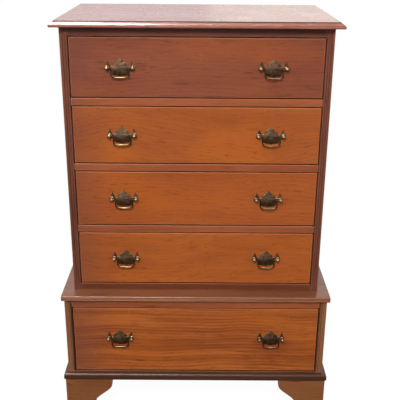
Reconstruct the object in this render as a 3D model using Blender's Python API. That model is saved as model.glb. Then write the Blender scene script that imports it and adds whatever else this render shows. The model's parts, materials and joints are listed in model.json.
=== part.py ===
"""Tall chest of drawers: four equal drawers in an upper case that stands on a wider lower case
with one deep drawer, a moulded base and bracket feet.

Units are metres and +Z is up. The feet stand on Z = 0, the front faces -Y, and the chest is
symmetrical about X = 0. Every moving piece hangs on an empty that lies on its joint's axis.
"""

from math import cos, pi, sin

import bmesh
import bpy
from mathutils import Matrix, Vector

# Clearances
GLUE_GAP = 0.0003
RUNNING_GAP = 0.001
BOLT_GAP = 0.0004

# Upper case
UPPER_WIDTH = 0.800
UPPER_DEPTH = 0.500
SIDE_THICKNESS = 0.0235
TOP_RAIL_HEIGHT = 0.026
TOP_RAIL_DEPTH = 0.040
DIVIDER_HEIGHT = 0.0235
BOTTOM_RAIL_HEIGHT = 0.0245
HOUSING_DEPTH = 0.006
HOUSING_STOP = 0.022
FRAME_MEMBER_WIDTH = 0.055
DUST_PANEL_THICKNESS = 0.006
BACK_PANEL_THICKNESS = 0.0055
BACK_RABBET_WIDTH = 0.011
BACK_RABBET_DEPTH = 0.007
GROOVE_WIDTH = 0.0022
GROOVE_DEPTH = 0.0012
UPPER_GROOVES = (0.0095, 0.0165)
LOWER_GROOVES = (0.0150, 0.0190)

# Top board
TOP_THICKNESS = 0.019
TOP_SIDE_OVERHANG = 0.0255
TOP_FRONT_OVERHANG = 0.027
TOP_STEP = 0.0018
TOP_STEP_INSET = 0.0125
TOP_BAND = 0.0085
TOP_FILLET = 0.0016

# Lower case
CASE_SIDE_STEP = 0.0275
CASE_FRONT_STEP = 0.043
LOWER_TOP_RAIL_HEIGHT = 0.026
LOWER_TOP_RAIL_DEPTH = 0.024
WAIST_THICKNESS = 0.017
WAIST_OVERHANG = 0.009
WAIST_REED = 0.0034
SILL_HEIGHT = 0.006
BASE_THICKNESS = 0.023
BASE_OVERHANG = 0.0145
BASE_MOULDING_WIDTH = 0.045
BASE_ROUND = 0.005
BASE_FILLET = 0.003

# Bracket feet
FOOT_HEIGHT = 0.121
FOOT_TOP_LENGTH = 0.156
FOOT_FLOOR_LENGTH = 0.098
FOOT_THICKNESS = 0.020
FOOT_INSET = 0.0045
FOOT_LIP = 0.020
FOOT_CURVE_DROP = 0.070
FOOT_CURVE_STEPS = 8

# Drawers
UPPER_DRAWERS = 4
UPPER_FRONT_HEIGHT = 0.1755
LOWER_FRONT_HEIGHT = 0.2345
FRONT_THICKNESS = 0.020
FRONT_RECESS = 0.0005
FRONT_GAP = 0.003
UPPER_SIDE_GAP = 0.0025
LOWER_SIDE_GAP = 0.0035
LOWER_BOTTOM_GAP = 0.0035
BOARD_THICKNESS = 0.012
FRONT_LAP = 0.008
BOX_REAR_CLEARANCE = 0.0375
BOX_TOP_CLEARANCE = 0.024
BACK_BOARD_DROP = 0.006
PANEL_THICKNESS = 0.005
PANEL_RAISE = 0.010
PANEL_GROOVE = 0.006

# Pulls
PULL_SPACING = 0.076
UPPER_PULL_INSET = 0.148
LOWER_PULL_INSET = 0.1515
UPPER_PULL_RAISE = 0.0
LOWER_PULL_RAISE = 0.0075
PLATE_THICKNESS = 0.0015
BOLT_RADIUS = 0.0022
NUT_RADIUS = 0.0055
NUT_THICKNESS = 0.003
COLLAR_RADIUS = 0.0058
COLLAR_HEIGHT = 0.0022
NECK_RADIUS = 0.0032
HEAD_RADIUS = 0.0056
AXIS_STANDOFF = 0.0125
EYE_RADIUS = 0.0018
EYE_DEPTH = 0.0038
PINTLE_RADIUS = 0.0014
PINTLE_END_GAP = 0.0004
PINTLE_LENGTH = 0.0050
BAIL_INSET = 0.0062
BAIL_DROP = 0.0290
BAIL_SHOULDER = 0.0060
BAIL_CORNER = 0.0100
BAIL_RADIUS = 0.0021
BAIL_SWELL = 0.0008
TURNED_SIDES = 8

# Half of the plate's shaped outline, clockwise from the top. Its middle is given by (distance
# from the plate's middle, height above the bolts), its wing by (distance outside the bolt's
# centre, height above it).
PLATE_CREST = (
    (0.0000, 0.0320), (0.0042, 0.0255), (0.0100, 0.0262), (0.0095, 0.0190), (0.0150, 0.0130),
    (0.0195, 0.0100),
)
PLATE_WING = (
    (-0.0135, 0.0090), (-0.0085, 0.0125), (-0.0055, 0.0195), (-0.0005, 0.0262), (0.0005, 0.0180),
    (0.0040, 0.0095), (0.0080, 0.0045), (0.0065, 0.0000), (0.0075, -0.0050), (0.0020, -0.0090),
    (-0.0050, -0.0082), (-0.0115, -0.0062), (-0.0150, -0.0105),
)
PLATE_POINT = (
    (0.0205, -0.0165), (0.0140, -0.0195), (0.0065, -0.0205), (0.0000, -0.0245),
)

# Heights, from the floor up
BASE_BOTTOM = FOOT_HEIGHT
BASE_TOP = BASE_BOTTOM + BASE_THICKNESS
LOWER_OPENING_HEIGHT = LOWER_BOTTOM_GAP + LOWER_FRONT_HEIGHT + FRONT_GAP
SILL_TOP = BASE_TOP + SILL_HEIGHT
LOWER_RAIL_BOTTOM = SILL_TOP + LOWER_OPENING_HEIGHT
WAIST_BOTTOM = LOWER_RAIL_BOTTOM + LOWER_TOP_RAIL_HEIGHT
WAIST_TOP = WAIST_BOTTOM + WAIST_THICKNESS
UPPER_OPENING_HEIGHT = UPPER_FRONT_HEIGHT + 2 * FRONT_GAP
ROW_PITCH = UPPER_OPENING_HEIGHT + DIVIDER_HEIGHT
FIRST_OPENING_BOTTOM = WAIST_TOP + BOTTOM_RAIL_HEIGHT
TOP_RAIL_BOTTOM = FIRST_OPENING_BOTTOM + UPPER_DRAWERS * ROW_PITCH - DIVIDER_HEIGHT
CASE_TOP = TOP_RAIL_BOTTOM + TOP_RAIL_HEIGHT
CHEST_TOP = CASE_TOP + TOP_THICKNESS

# Widths and depths
LOWER_WIDTH = UPPER_WIDTH + 2 * CASE_SIDE_STEP
LOWER_DEPTH = UPPER_DEPTH + CASE_FRONT_STEP
BOX_LENGTH_LOSS = BACK_RABBET_DEPTH + FRONT_RECESS + BOX_REAR_CLEARANCE
HALF_UPPER = UPPER_WIDTH / 2
HALF_LOWER = LOWER_WIDTH / 2
UPPER_FRONT_WIDTH = UPPER_WIDTH - 2 * (SIDE_THICKNESS + UPPER_SIDE_GAP)
LOWER_FRONT_WIDTH = LOWER_WIDTH - 2 * (SIDE_THICKNESS + LOWER_SIDE_GAP)
BOLT_X = PULL_SPACING / 2
BAIL_HALF_WIDTH = BOLT_X - HEAD_RADIUS - BAIL_INSET

# Front-to-back places. The origin lies midway between the rear plane and the front of the
# lower drawer's pulls, the frontmost points of the chest.
PULL_PROJECTION = AXIS_STANDOFF + HEAD_RADIUS - FRONT_RECESS
FRONT_REACH = max(PULL_PROJECTION, BASE_OVERHANG)
REAR_Y = (LOWER_DEPTH + FRONT_REACH) / 2
UPPER_FRONT_Y = REAR_Y - UPPER_DEPTH
LOWER_FRONT_Y = REAR_Y - LOWER_DEPTH


# ---------------------------------------------------------------------------------------------
# Materials
# ---------------------------------------------------------------------------------------------

def make_material(name, colour, roughness, metallic=0.0):
    """A Principled material of one colour."""
    material = bpy.data.materials.new(name)
    material.use_nodes = True
    shader = material.node_tree.nodes["Principled BSDF"]
    shader.inputs["Base Color"].default_value = (*colour, 1.0)
    shader.inputs["Roughness"].default_value = roughness
    shader.inputs["Metallic"].default_value = metallic
    material.diffuse_color = (*colour, 1.0)
    return material


# ---------------------------------------------------------------------------------------------
# Shape helpers
# ---------------------------------------------------------------------------------------------

def finish_mesh(bm, name):
    """Close a bmesh into a mesh whose faces point outwards."""
    bmesh.ops.recalc_face_normals(bm, faces=bm.faces)
    mesh = bpy.data.meshes.new(name)
    bm.to_mesh(mesh)
    bm.free()
    return mesh


def add_object(name, mesh, material, parent=None, location=(0, 0, 0)):
    """One named piece with its own material."""
    piece = bpy.data.objects.new(name, mesh)
    bpy.context.scene.collection.objects.link(piece)
    if material:
        mesh.materials.append(material)
    piece.parent = parent
    piece.location = location
    return piece


def add_empty(name, location, parent=None):
    """A joint's place, which the moving pieces hang on."""
    empty = bpy.data.objects.new(name, None)
    bpy.context.scene.collection.objects.link(empty)
    empty.empty_display_size = 0.02
    empty.parent = parent
    empty.location = location
    return empty


def add_box(bm, low, high):
    """A closed box between two corners."""
    size = Vector(high) - Vector(low)
    middle = (Vector(high) + Vector(low)) / 2
    matrix = Matrix.Translation(middle) @ Matrix.Diagonal((*size, 1.0))
    bmesh.ops.create_cube(bm, size=1.0, matrix=matrix)


def box_mesh(name, low, high):
    """A mesh of one box."""
    bm = bmesh.new()
    add_box(bm, low, high)
    return finish_mesh(bm, name)


def prism_mesh(name, outline, axis, start, end):
    """An outline of (first, second) points extruded along axis from start to end.

    The outline's two directions are the remaining axes in X, Y, Z order.
    """
    others = [i for i in range(3) if i != axis]
    bm = bmesh.new()
    corners = []
    for first, second in outline:
        point = [0.0, 0.0, 0.0]
        point[others[0]] = first
        point[others[1]] = second
        point[axis] = start
        corners.append(bm.verts.new(point))
    face = bm.faces.new(corners)
    extruded = bmesh.ops.extrude_face_region(bm, geom=[face])
    moved = [item for item in extruded["geom"] if isinstance(item, bmesh.types.BMVert)]
    shift = Vector((0.0, 0.0, 0.0))
    shift[axis] = end - start
    bmesh.ops.translate(bm, verts=moved, vec=shift)
    return finish_mesh(bm, name)


def ring_mesh(name, rings):
    """Rings of equally many points, joined in order and capped at both ends."""
    bm = bmesh.new()
    loops = [[bm.verts.new(point) for point in ring] for ring in rings]
    for lower, upper in zip(loops, loops[1:]):
        for i in range(len(lower)):
            j = (i + 1) % len(lower)
            bm.faces.new((lower[i], lower[j], upper[j], upper[i]))
    bm.faces.new(loops[0])
    bm.faces.new(loops[-1])
    return finish_mesh(bm, name)


def apply_boolean(piece, cutter, operation="DIFFERENCE"):
    """A live Boolean whose cutter stays in the scene as a hidden guide."""
    cutter.hide_render = True
    cutter.display_type = "WIRE"
    modifier = piece.modifiers.new(cutter.name, "BOOLEAN")
    modifier.operation = operation
    modifier.solver = "EXACT"
    modifier.object = cutter


def turned_mesh(name, profile):
    """A profile of (radius, height) points turned about the local Y axis."""
    bm = bmesh.new()
    points = [bm.verts.new((radius, along, 0.0)) for radius, along in profile]
    edges = [bm.edges.new(pair) for pair in zip(points, points[1:])]
    bmesh.ops.spin(
        bm, geom=points + edges, cent=(0, 0, 0), axis=(0, 1, 0), angle=2 * pi,
        steps=TURNED_SIDES, use_merge=True)
    bmesh.ops.remove_doubles(bm, verts=bm.verts, dist=0.00001)
    return finish_mesh(bm, name)


def shade_round(piece, angle=0.7):
    """Smooth shading that keeps the sharp corners."""
    piece.data.shade_smooth()
    piece.data.set_sharp_from_angle(angle=angle)


# ---------------------------------------------------------------------------------------------
# Case boards
# ---------------------------------------------------------------------------------------------

def board_rings(profile, half_width, front_y, rear_y):
    """Rings of a board that is moulded on its front and ends and square at its rear.

    The profile's points are (inset from the edge, height).
    """
    rings = []
    for inset, height in profile:
        x = half_width - inset
        y = front_y + inset
        rings.append(((-x, y, height), (x, y, height), (x, rear_y, height), (-x, rear_y, height)))
    return rings


def make_top_board(wood):
    """The top: a raised field, a thumbnail edge, a fillet and a plain lower band."""
    round_bottom = CASE_TOP + TOP_BAND
    field_edge = CHEST_TOP - TOP_STEP
    drop = field_edge - round_bottom
    reach = TOP_STEP_INSET - TOP_FILLET
    profile = [
        (TOP_FILLET * 2, CASE_TOP + GLUE_GAP),
        (0.0, CASE_TOP + TOP_FILLET * 2),
        (0.0, round_bottom - TOP_FILLET),
        (TOP_FILLET, round_bottom),
    ]
    for step in range(1, 5):
        angle = step / 4 * pi / 2
        profile.append((TOP_FILLET + reach * (1 - cos(angle)), round_bottom + drop * sin(angle)))
    profile.append((TOP_STEP_INSET + TOP_STEP, CHEST_TOP))
    half = HALF_UPPER + TOP_SIDE_OVERHANG
    rings = board_rings(profile, half, UPPER_FRONT_Y - TOP_FRONT_OVERHANG, REAR_Y)
    return add_object("top_board", ring_mesh("top_board", rings), wood)


def make_waist_board(wood):
    """The board between the cases, with a reeded edge."""
    low = WAIST_BOTTOM + GLUE_GAP
    notch = WAIST_REED / 2
    profile = [
        (notch, low),
        (0.0, low + notch),
        (0.0, low + WAIST_REED),
        (notch, low + WAIST_REED + notch),
        (0.0, low + 2 * WAIST_REED + notch),
        (0.0, WAIST_TOP - WAIST_REED),
        (notch / 2, WAIST_TOP - notch),
        (WAIST_REED, WAIST_TOP),
    ]
    half = HALF_LOWER + WAIST_OVERHANG
    rings = board_rings(profile, half, LOWER_FRONT_Y - WAIST_OVERHANG, REAR_Y)
    return add_object("waist_board", ring_mesh("waist_board", rings), wood)


def side_outline(outer_x, front_y, grooves, hand):
    """A case side seen from above: reeded front edge, rear rabbet for the back panel."""
    inner_x = outer_x - SIDE_THICKNESS
    half_groove = GROOVE_WIDTH / 2
    points = [(outer_x, front_y)]
    for place in grooves:
        middle = outer_x - place
        points.append((middle + half_groove, front_y))
        points.append((middle, front_y + GROOVE_DEPTH))
        points.append((middle - half_groove, front_y))
    points.append((inner_x, front_y))
    points.append((inner_x, REAR_Y - BACK_RABBET_DEPTH))
    points.append((inner_x + BACK_RABBET_WIDTH, REAR_Y - BACK_RABBET_DEPTH))
    points.append((inner_x + BACK_RABBET_WIDTH, REAR_Y))
    points.append((outer_x, REAR_Y))
    return [(hand * x, y) for x, y in points]


def divider_bottoms():
    """Heights of the undersides of the dividers between the upper drawers, from the top down."""
    first = TOP_RAIL_BOTTOM - UPPER_OPENING_HEIGHT - DIVIDER_HEIGHT
    return [first - row * ROW_PITCH for row in range(UPPER_DRAWERS - 1)]


def make_upper_side(name, hand, wood):
    """An upper side, housed for the dividers and the bottom frame."""
    outline = side_outline(HALF_UPPER, UPPER_FRONT_Y, UPPER_GROOVES, hand)
    low = WAIST_TOP + GLUE_GAP
    high = CASE_TOP - GLUE_GAP
    piece = add_object(name, prism_mesh(name, outline, 2, low, high), wood)
    inner_x = HALF_UPPER - SIDE_THICKNESS
    bm = bmesh.new()
    levels = [(z, z + DIVIDER_HEIGHT) for z in divider_bottoms()]
    levels.append((low - HOUSING_DEPTH, FIRST_OPENING_BOTTOM))
    for bottom, top in levels:
        near = hand * (inner_x - HOUSING_DEPTH)
        far = hand * (inner_x + HOUSING_DEPTH)
        front = UPPER_FRONT_Y + HOUSING_STOP
        rear = REAR_Y + HOUSING_DEPTH
        add_box(bm, (min(near, far), front, bottom), (max(near, far), rear, top))
    cutter = add_object(name + "_housings", finish_mesh(bm, name + "_housings"), None)
    apply_boolean(piece, cutter)
    return piece


def frame_outline(half_width, front_y, rear_y, tongue, stop):
    """A frame seen from above.

    Behind the stop its ends reach out by the tongue, into the housings of the case sides.
    """
    wide = half_width + tongue
    return [
        (-half_width, front_y), (half_width, front_y), (half_width, front_y + stop),
        (wide, front_y + stop), (wide, rear_y), (-wide, rear_y),
        (-wide, front_y + stop), (-half_width, front_y + stop),
    ]


def recess_dust_panel(piece, half_width, front_y, rear_y, bottom, top):
    """Sink both faces of a frame inside its members, which leaves a thin dust panel."""
    sunk = (top - bottom - DUST_PANEL_THICKNESS) / 2
    low = (-half_width + FRAME_MEMBER_WIDTH, front_y + FRAME_MEMBER_WIDTH)
    high = (half_width - FRAME_MEMBER_WIDTH, rear_y - FRAME_MEMBER_WIDTH)
    bm = bmesh.new()
    add_box(bm, (*low, top - sunk), (*high, top + sunk))
    add_box(bm, (*low, bottom - sunk), (*high, bottom + sunk))
    name = piece.name + "_panel_recess"
    apply_boolean(piece, add_object(name, finish_mesh(bm, name), None))


def make_upper_frame(name, bottom, top, wood):
    """A frame of the upper case: a rail in front, runners at the ends and a dust panel."""
    half_width = HALF_UPPER - SIDE_THICKNESS - GLUE_GAP
    rear_y = REAR_Y - BACK_RABBET_DEPTH - GLUE_GAP
    outline = frame_outline(
        half_width, UPPER_FRONT_Y, rear_y, HOUSING_DEPTH, HOUSING_STOP + GLUE_GAP)
    piece = add_object(name, prism_mesh(name, outline, 2, bottom, top), wood)
    recess_dust_panel(piece, half_width, UPPER_FRONT_Y, rear_y, bottom, top)


def make_upper_frames(wood):
    """The dividers between the upper drawers, and the bottom frame below them."""
    for number, bottom in enumerate(divider_bottoms(), start=1):
        top = bottom + DIVIDER_HEIGHT - GLUE_GAP
        make_upper_frame("divider_%d" % number, bottom + GLUE_GAP, top, wood)
    make_upper_frame(
        "upper_bottom_frame", WAIST_TOP + GLUE_GAP, FIRST_OPENING_BOTTOM - GLUE_GAP, wood)


def make_top_rails(wood):
    """The rails that the top board is screwed to, at the front and at the rear."""
    x = HALF_UPPER - SIDE_THICKNESS - GLUE_GAP
    high = CASE_TOP - GLUE_GAP
    front = UPPER_FRONT_Y
    mesh = box_mesh(
        "upper_top_rail", (-x, front, TOP_RAIL_BOTTOM), (x, front + TOP_RAIL_DEPTH, high))
    add_object("upper_top_rail", mesh, wood)
    rear = REAR_Y - BACK_RABBET_DEPTH - GLUE_GAP
    mesh = box_mesh(
        "upper_rear_rail", (-x, rear - TOP_RAIL_DEPTH, TOP_RAIL_BOTTOM), (x, rear, high))
    add_object("upper_rear_rail", mesh, wood)


def make_back_panel(name, half_case, bottom, top, wood):
    """A thin panel in the rabbets of two case sides."""
    x = half_case - SIDE_THICKNESS + BACK_RABBET_WIDTH - GLUE_GAP
    front = REAR_Y - BACK_RABBET_DEPTH + GLUE_GAP
    low = (-x, front, bottom + GLUE_GAP)
    high = (x, front + BACK_PANEL_THICKNESS, top - GLUE_GAP)
    add_object(name, box_mesh(name, low, high), wood)


def make_lower_case(wood):
    """The sides and the top rail of the lower case."""
    for hand, name in ((-1, "lower_side_left"), (1, "lower_side_right")):
        outline = side_outline(HALF_LOWER, LOWER_FRONT_Y, LOWER_GROOVES, hand)
        low = BASE_TOP + GLUE_GAP
        high = WAIST_BOTTOM
        add_object(name, prism_mesh(name, outline, 2, low, high), wood)
    x = HALF_LOWER - SIDE_THICKNESS - GLUE_GAP
    low = (-x, LOWER_FRONT_Y, LOWER_RAIL_BOTTOM)
    high = (x, LOWER_FRONT_Y + LOWER_TOP_RAIL_DEPTH, WAIST_BOTTOM)
    add_object("lower_top_rail", box_mesh("lower_top_rail", low, high), wood)


# ---------------------------------------------------------------------------------------------
# Base and feet
# ---------------------------------------------------------------------------------------------

def base_profile():
    """The base moulding's edge: (inset from the edge, height), from the bottom up."""
    low = BASE_BOTTOM
    high = BASE_TOP
    points = [
        (BASE_FILLET, low),
        (BASE_FILLET, low + BASE_FILLET),
        (0.0, low + 2 * BASE_FILLET),
        (0.0, high - BASE_ROUND),
    ]
    for step in range(1, 4):
        angle = step / 3 * pi / 2
        points.append((BASE_ROUND * (1 - cos(angle)), high - BASE_ROUND * (1 - sin(angle))))
    points.append((BASE_MOULDING_WIDTH, high))
    points.append((BASE_MOULDING_WIDTH, low))
    return points


def make_base(wood):
    """Three mouldings, mitred at the front corners."""
    half = HALF_LOWER + BASE_OVERHANG
    front = LOWER_FRONT_Y - BASE_OVERHANG
    mitre = GLUE_GAP / 2
    left = [(-half + inset + mitre, front + inset, z) for inset, z in base_profile()]
    right = [(half - inset - mitre, front + inset, z) for inset, z in base_profile()]
    mesh = ring_mesh("base_moulding_front", (left, right))
    add_object("base_moulding_front", mesh, wood)
    for hand, name in ((-1, "base_moulding_left"), (1, "base_moulding_right")):
        near = [(hand * (half - inset), front + inset + 2 * mitre, z) for inset, z in base_profile()]
        far = [(hand * (half - inset), REAR_Y, z) for inset, z in base_profile()]
        add_object(name, ring_mesh(name, (near, far)), wood)


def make_bottom_frame(wood):
    """The frame that closes the case's bottom: it fills the ring of mouldings and rises above
    them between the case sides, as the sill that the lower drawer runs on."""
    name = "lower_bottom_frame"
    x = HALF_LOWER + BASE_OVERHANG - BASE_MOULDING_WIDTH - GLUE_GAP
    front = LOWER_FRONT_Y - BASE_OVERHANG + BASE_MOULDING_WIDTH + GLUE_GAP
    rear = REAR_Y - BACK_RABBET_DEPTH - GLUE_GAP
    sill_x = HALF_LOWER - SIDE_THICKNESS - GLUE_GAP
    low = BASE_TOP + GLUE_GAP
    high = SILL_TOP - GLUE_GAP
    piece = add_object(name, box_mesh(name, (-x, front, BASE_BOTTOM), (x, rear, high)), wood)
    corners = ((-sill_x, LOWER_FRONT_Y, low), (sill_x, rear, high))
    sill = add_object(name + "_sill", box_mesh(name + "_sill", *corners), None)
    apply_boolean(piece, sill, "UNION")
    recess_dust_panel(piece, x, front, rear, BASE_BOTTOM, high)


def bracket_outline():
    """A bracket foot seen square on: (distance from its corner, height), with an ogee edge."""
    top = BASE_BOTTOM - GLUE_GAP
    points = [(0.0, top), (0.0, 0.0), (FOOT_FLOOR_LENGTH, 0.0)]
    curve_top = top - FOOT_LIP
    curve_bottom = curve_top - FOOT_CURVE_DROP
    spread = FOOT_TOP_LENGTH - FOOT_FLOOR_LENGTH
    for step in range(FOOT_CURVE_STEPS + 1):
        share = step / FOOT_CURVE_STEPS
        height = curve_bottom + share * FOOT_CURVE_DROP
        points.append((FOOT_FLOOR_LENGTH + spread * (1 - cos(pi * share)) / 2, height))
    points.append((FOOT_TOP_LENGTH, top))
    return points


def mitred_bracket(name, outline, corner, hand, along_y, clearance):
    """A bracket from a foot's outer corner, whose corner end is cut at 45 degrees.

    It runs along X, or along Y if along_y is set, and its thickness goes inwards.
    """
    outer = []
    inner = []
    for distance, height in outline:
        inner_distance = max(distance, FOOT_THICKNESS + clearance)
        outer_distance = max(distance, clearance)
        faces = ((outer, outer_distance, 0.0), (inner, inner_distance, FOOT_THICKNESS))
        for target, reach, depth in faces:
            if along_y:
                target.append((corner[0] - hand * depth, corner[1] + reach, height))
            else:
                target.append((corner[0] - hand * reach, corner[1] + depth, height))
    return ring_mesh(name, (outer, inner))


def make_front_foot(side, hand, wood):
    """A front foot: two brackets mitred together."""
    x = hand * (HALF_LOWER + BASE_OVERHANG - FOOT_INSET)
    y = LOWER_FRONT_Y - BASE_OVERHANG + FOOT_INSET
    outline = bracket_outline()
    name = "foot_front_%s" % side
    add_object(name, mitred_bracket(name, outline, (x, y), hand, False, 0.0), wood)
    name = "foot_front_%s_side" % side
    add_object(name, mitred_bracket(name, outline, (x, y), hand, True, 2 * GLUE_GAP), wood)


def make_rear_foot(side, hand, wood):
    """A rear foot: a shaped bracket along the side, and a plain one across the rear."""
    x = hand * (HALF_LOWER + BASE_OVERHANG - FOOT_INSET)
    name = "foot_rear_%s" % side
    outline = [(REAR_Y - distance, height) for distance, height in bracket_outline()]
    near = x - hand * FOOT_THICKNESS
    mesh = prism_mesh(name, outline, 0, near, x)
    piece = add_object(name, mesh, wood)
    far = x - hand * FOOT_FLOOR_LENGTH
    low = (min(near + hand * FOOT_THICKNESS / 2, far), REAR_Y - FOOT_THICKNESS, 0.0)
    high = (max(near + hand * FOOT_THICKNESS / 2, far), REAR_Y, BASE_BOTTOM - GLUE_GAP)
    rear = add_object(name + "_rear_bracket", box_mesh(name + "_rear_bracket", low, high), None)
    apply_boolean(piece, rear, "UNION")
    return piece


# ---------------------------------------------------------------------------------------------
# Drawers
# ---------------------------------------------------------------------------------------------

def drawer_sizes(number):
    """The sizes of one drawer, numbered from the top down."""
    if number <= UPPER_DRAWERS:
        opening = TOP_RAIL_BOTTOM - UPPER_OPENING_HEIGHT - (number - 1) * ROW_PITCH
        return {
            "width": UPPER_FRONT_WIDTH, "height": UPPER_FRONT_HEIGHT,
            "front_y": UPPER_FRONT_Y + FRONT_RECESS, "length": UPPER_DEPTH - BOX_LENGTH_LOSS,
            "opening": opening, "bottom": opening + FRONT_GAP,
            "pull_x": UPPER_FRONT_WIDTH / 2 - UPPER_PULL_INSET, "pull_raise": UPPER_PULL_RAISE,
        }
    return {
        "width": LOWER_FRONT_WIDTH, "height": LOWER_FRONT_HEIGHT,
        "front_y": LOWER_FRONT_Y + FRONT_RECESS, "length": LOWER_DEPTH - BOX_LENGTH_LOSS,
        "opening": SILL_TOP, "bottom": SILL_TOP + LOWER_BOTTOM_GAP,
        "pull_x": LOWER_FRONT_WIDTH / 2 - LOWER_PULL_INSET, "pull_raise": LOWER_PULL_RAISE,
    }


def pull_centres(sizes):
    """Places of the two pulls on a drawer's face: (x, height above the face's lower edge)."""
    height = sizes["height"] / 2 + sizes["pull_raise"]
    return [(-sizes["pull_x"], height), (sizes["pull_x"], height)]


def add_turned_rod(bm, x, z, radius, low_y, high_y):
    """A straight rod along Y."""
    matrix = Matrix.Translation((x, (low_y + high_y) / 2, z)) @ Matrix.Rotation(pi / 2, 4, "X")
    bmesh.ops.create_cone(
        bm, cap_ends=True, segments=TURNED_SIDES, radius1=radius, radius2=radius,
        depth=high_y - low_y, matrix=matrix)


def make_drawer_front(number, sizes, holder, wood):
    """The face board, housed for the two sides, grooved for the bottom, bored for the pulls."""
    name = "drawer_%d_front" % number
    half = sizes["width"] / 2
    mesh = box_mesh(name, (-half, 0.0, 0.0), (half, FRONT_THICKNESS, sizes["height"]))
    piece = add_object(name, mesh, wood, holder)
    drop = sizes["bottom"] - sizes["opening"] - RUNNING_GAP
    side_top = sizes["height"] - BOX_TOP_CLEARANCE + GLUE_GAP
    bm = bmesh.new()
    for hand in (-1, 1):
        near = hand * (half - BOARD_THICKNESS - GLUE_GAP)
        far = hand * (half + BOARD_THICKNESS)
        low = (min(near, far), FRONT_LAP, -drop - BOARD_THICKNESS)
        add_box(bm, low, (max(near, far), FRONT_THICKNESS + FRONT_LAP, side_top))
    cutter = add_object(name + "_side_housings", finish_mesh(bm, name), None, holder)
    apply_boolean(piece, cutter)
    groove_low = PANEL_RAISE - drop - GLUE_GAP
    groove_high = groove_low + PANEL_THICKNESS + 2 * GLUE_GAP
    low = (-half + BOARD_THICKNESS / 2, FRONT_THICKNESS - PANEL_GROOVE, groove_low)
    high = (half - BOARD_THICKNESS / 2, FRONT_THICKNESS + PANEL_GROOVE, groove_high)
    groove = add_object(name + "_groove", box_mesh(name + "_groove", low, high), None, holder)
    apply_boolean(piece, groove)
    bm = bmesh.new()
    for x, z in pull_centres(sizes):
        for hand in (-1, 1):
            add_turned_rod(
                bm, x + hand * BOLT_X, z, BOLT_RADIUS + BOLT_GAP,
                -FRONT_THICKNESS, 2 * FRONT_THICKNESS)
    bores = add_object(name + "_bores", finish_mesh(bm, name + "_bores"), None, holder)
    apply_boolean(piece, bores)
    return piece


def make_drawer_box(number, sizes, holder, wood):
    """The two sides, joined to the back board that stands on the bottom panel."""
    name = "drawer_%d_box" % number
    outer = sizes["width"] / 2
    inner = outer - BOARD_THICKNESS
    drop = sizes["bottom"] - sizes["opening"] - RUNNING_GAP
    front = FRONT_LAP + GLUE_GAP
    rear = sizes["length"]
    outline = [
        (-outer, front), (-inner, front), (-inner, rear - BOARD_THICKNESS),
        (inner, rear - BOARD_THICKNESS), (inner, front), (outer, front),
        (outer, rear), (-outer, rear),
    ]
    top = sizes["height"] - BOX_TOP_CLEARANCE
    piece = add_object(name, prism_mesh(name, outline, 2, -drop, top), wood, holder)
    panel_low = PANEL_RAISE - drop
    panel_high = panel_low + PANEL_THICKNESS
    bm = bmesh.new()
    reach = inner + PANEL_GROOVE
    low = (-reach, -FRONT_LAP, panel_low - GLUE_GAP)
    add_box(bm, low, (reach, rear + BOARD_THICKNESS, panel_high + GLUE_GAP))
    cutter = add_object(name + "_grooves", finish_mesh(bm, name), None, holder)
    apply_boolean(piece, cutter)
    low = (-inner, rear - 2 * BOARD_THICKNESS, -drop - BOARD_THICKNESS)
    high = (inner, rear + BOARD_THICKNESS, panel_low)
    notch = add_object(name + "_rear_notch", box_mesh(name, low, high), None, holder)
    apply_boolean(piece, notch)
    low = (-inner, rear - 2 * BOARD_THICKNESS, top - BACK_BOARD_DROP)
    high = (inner, rear + BOARD_THICKNESS, top + BOARD_THICKNESS)
    lower_back = add_object(name + "_back_drop", box_mesh(name, low, high), None, holder)
    apply_boolean(piece, lower_back)
    return piece


def make_drawer_bottom(number, sizes, holder, wood):
    """The thin panel in the grooves of the front and the sides."""
    name = "drawer_%d_bottom" % number
    drop = sizes["bottom"] - sizes["opening"] - RUNNING_GAP
    half = sizes["width"] / 2 - BOARD_THICKNESS + PANEL_GROOVE - GLUE_GAP
    front = FRONT_THICKNESS - PANEL_GROOVE + GLUE_GAP
    low = PANEL_RAISE - drop
    inset = sizes["width"] / 2 - BOARD_THICKNESS - GLUE_GAP
    corner = FRONT_THICKNESS + GLUE_GAP
    outline = [
        (-inset, front), (inset, front), (inset, corner), (half, corner),
        (half, sizes["length"]), (-half, sizes["length"]), (-half, corner), (-inset, corner),
    ]
    mesh = prism_mesh(name, outline, 2, low, low + PANEL_THICKNESS)
    return add_object(name, mesh, wood, holder)


# ---------------------------------------------------------------------------------------------
# Pulls
# ---------------------------------------------------------------------------------------------

def post_profile():
    """A post with its bolt and nut: (radius, distance behind the drawer's face)."""
    plate_face = -(GLUE_GAP + PLATE_THICKNESS)
    nut_face = FRONT_THICKNESS + GLUE_GAP
    points = [
        (0.0, nut_face + NUT_THICKNESS),
        (NUT_RADIUS, nut_face + NUT_THICKNESS),
        (NUT_RADIUS, nut_face),
        (BOLT_RADIUS, nut_face),
        (BOLT_RADIUS, -GLUE_GAP - PLATE_THICKNESS / 2),
        (COLLAR_RADIUS, -GLUE_GAP - PLATE_THICKNESS / 2),
        (COLLAR_RADIUS, plate_face - COLLAR_HEIGHT / 2),
        (NECK_RADIUS, plate_face - COLLAR_HEIGHT),
    ]
    for step in range(1, 6):
        angle = step / 5 * pi * 0.82 + pi * 0.18
        points.append((HEAD_RADIUS * sin(angle), -AXIS_STANDOFF + HEAD_RADIUS * cos(angle)))
    points[-1] = (0.0, -AXIS_STANDOFF - HEAD_RADIUS)
    return points


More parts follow.
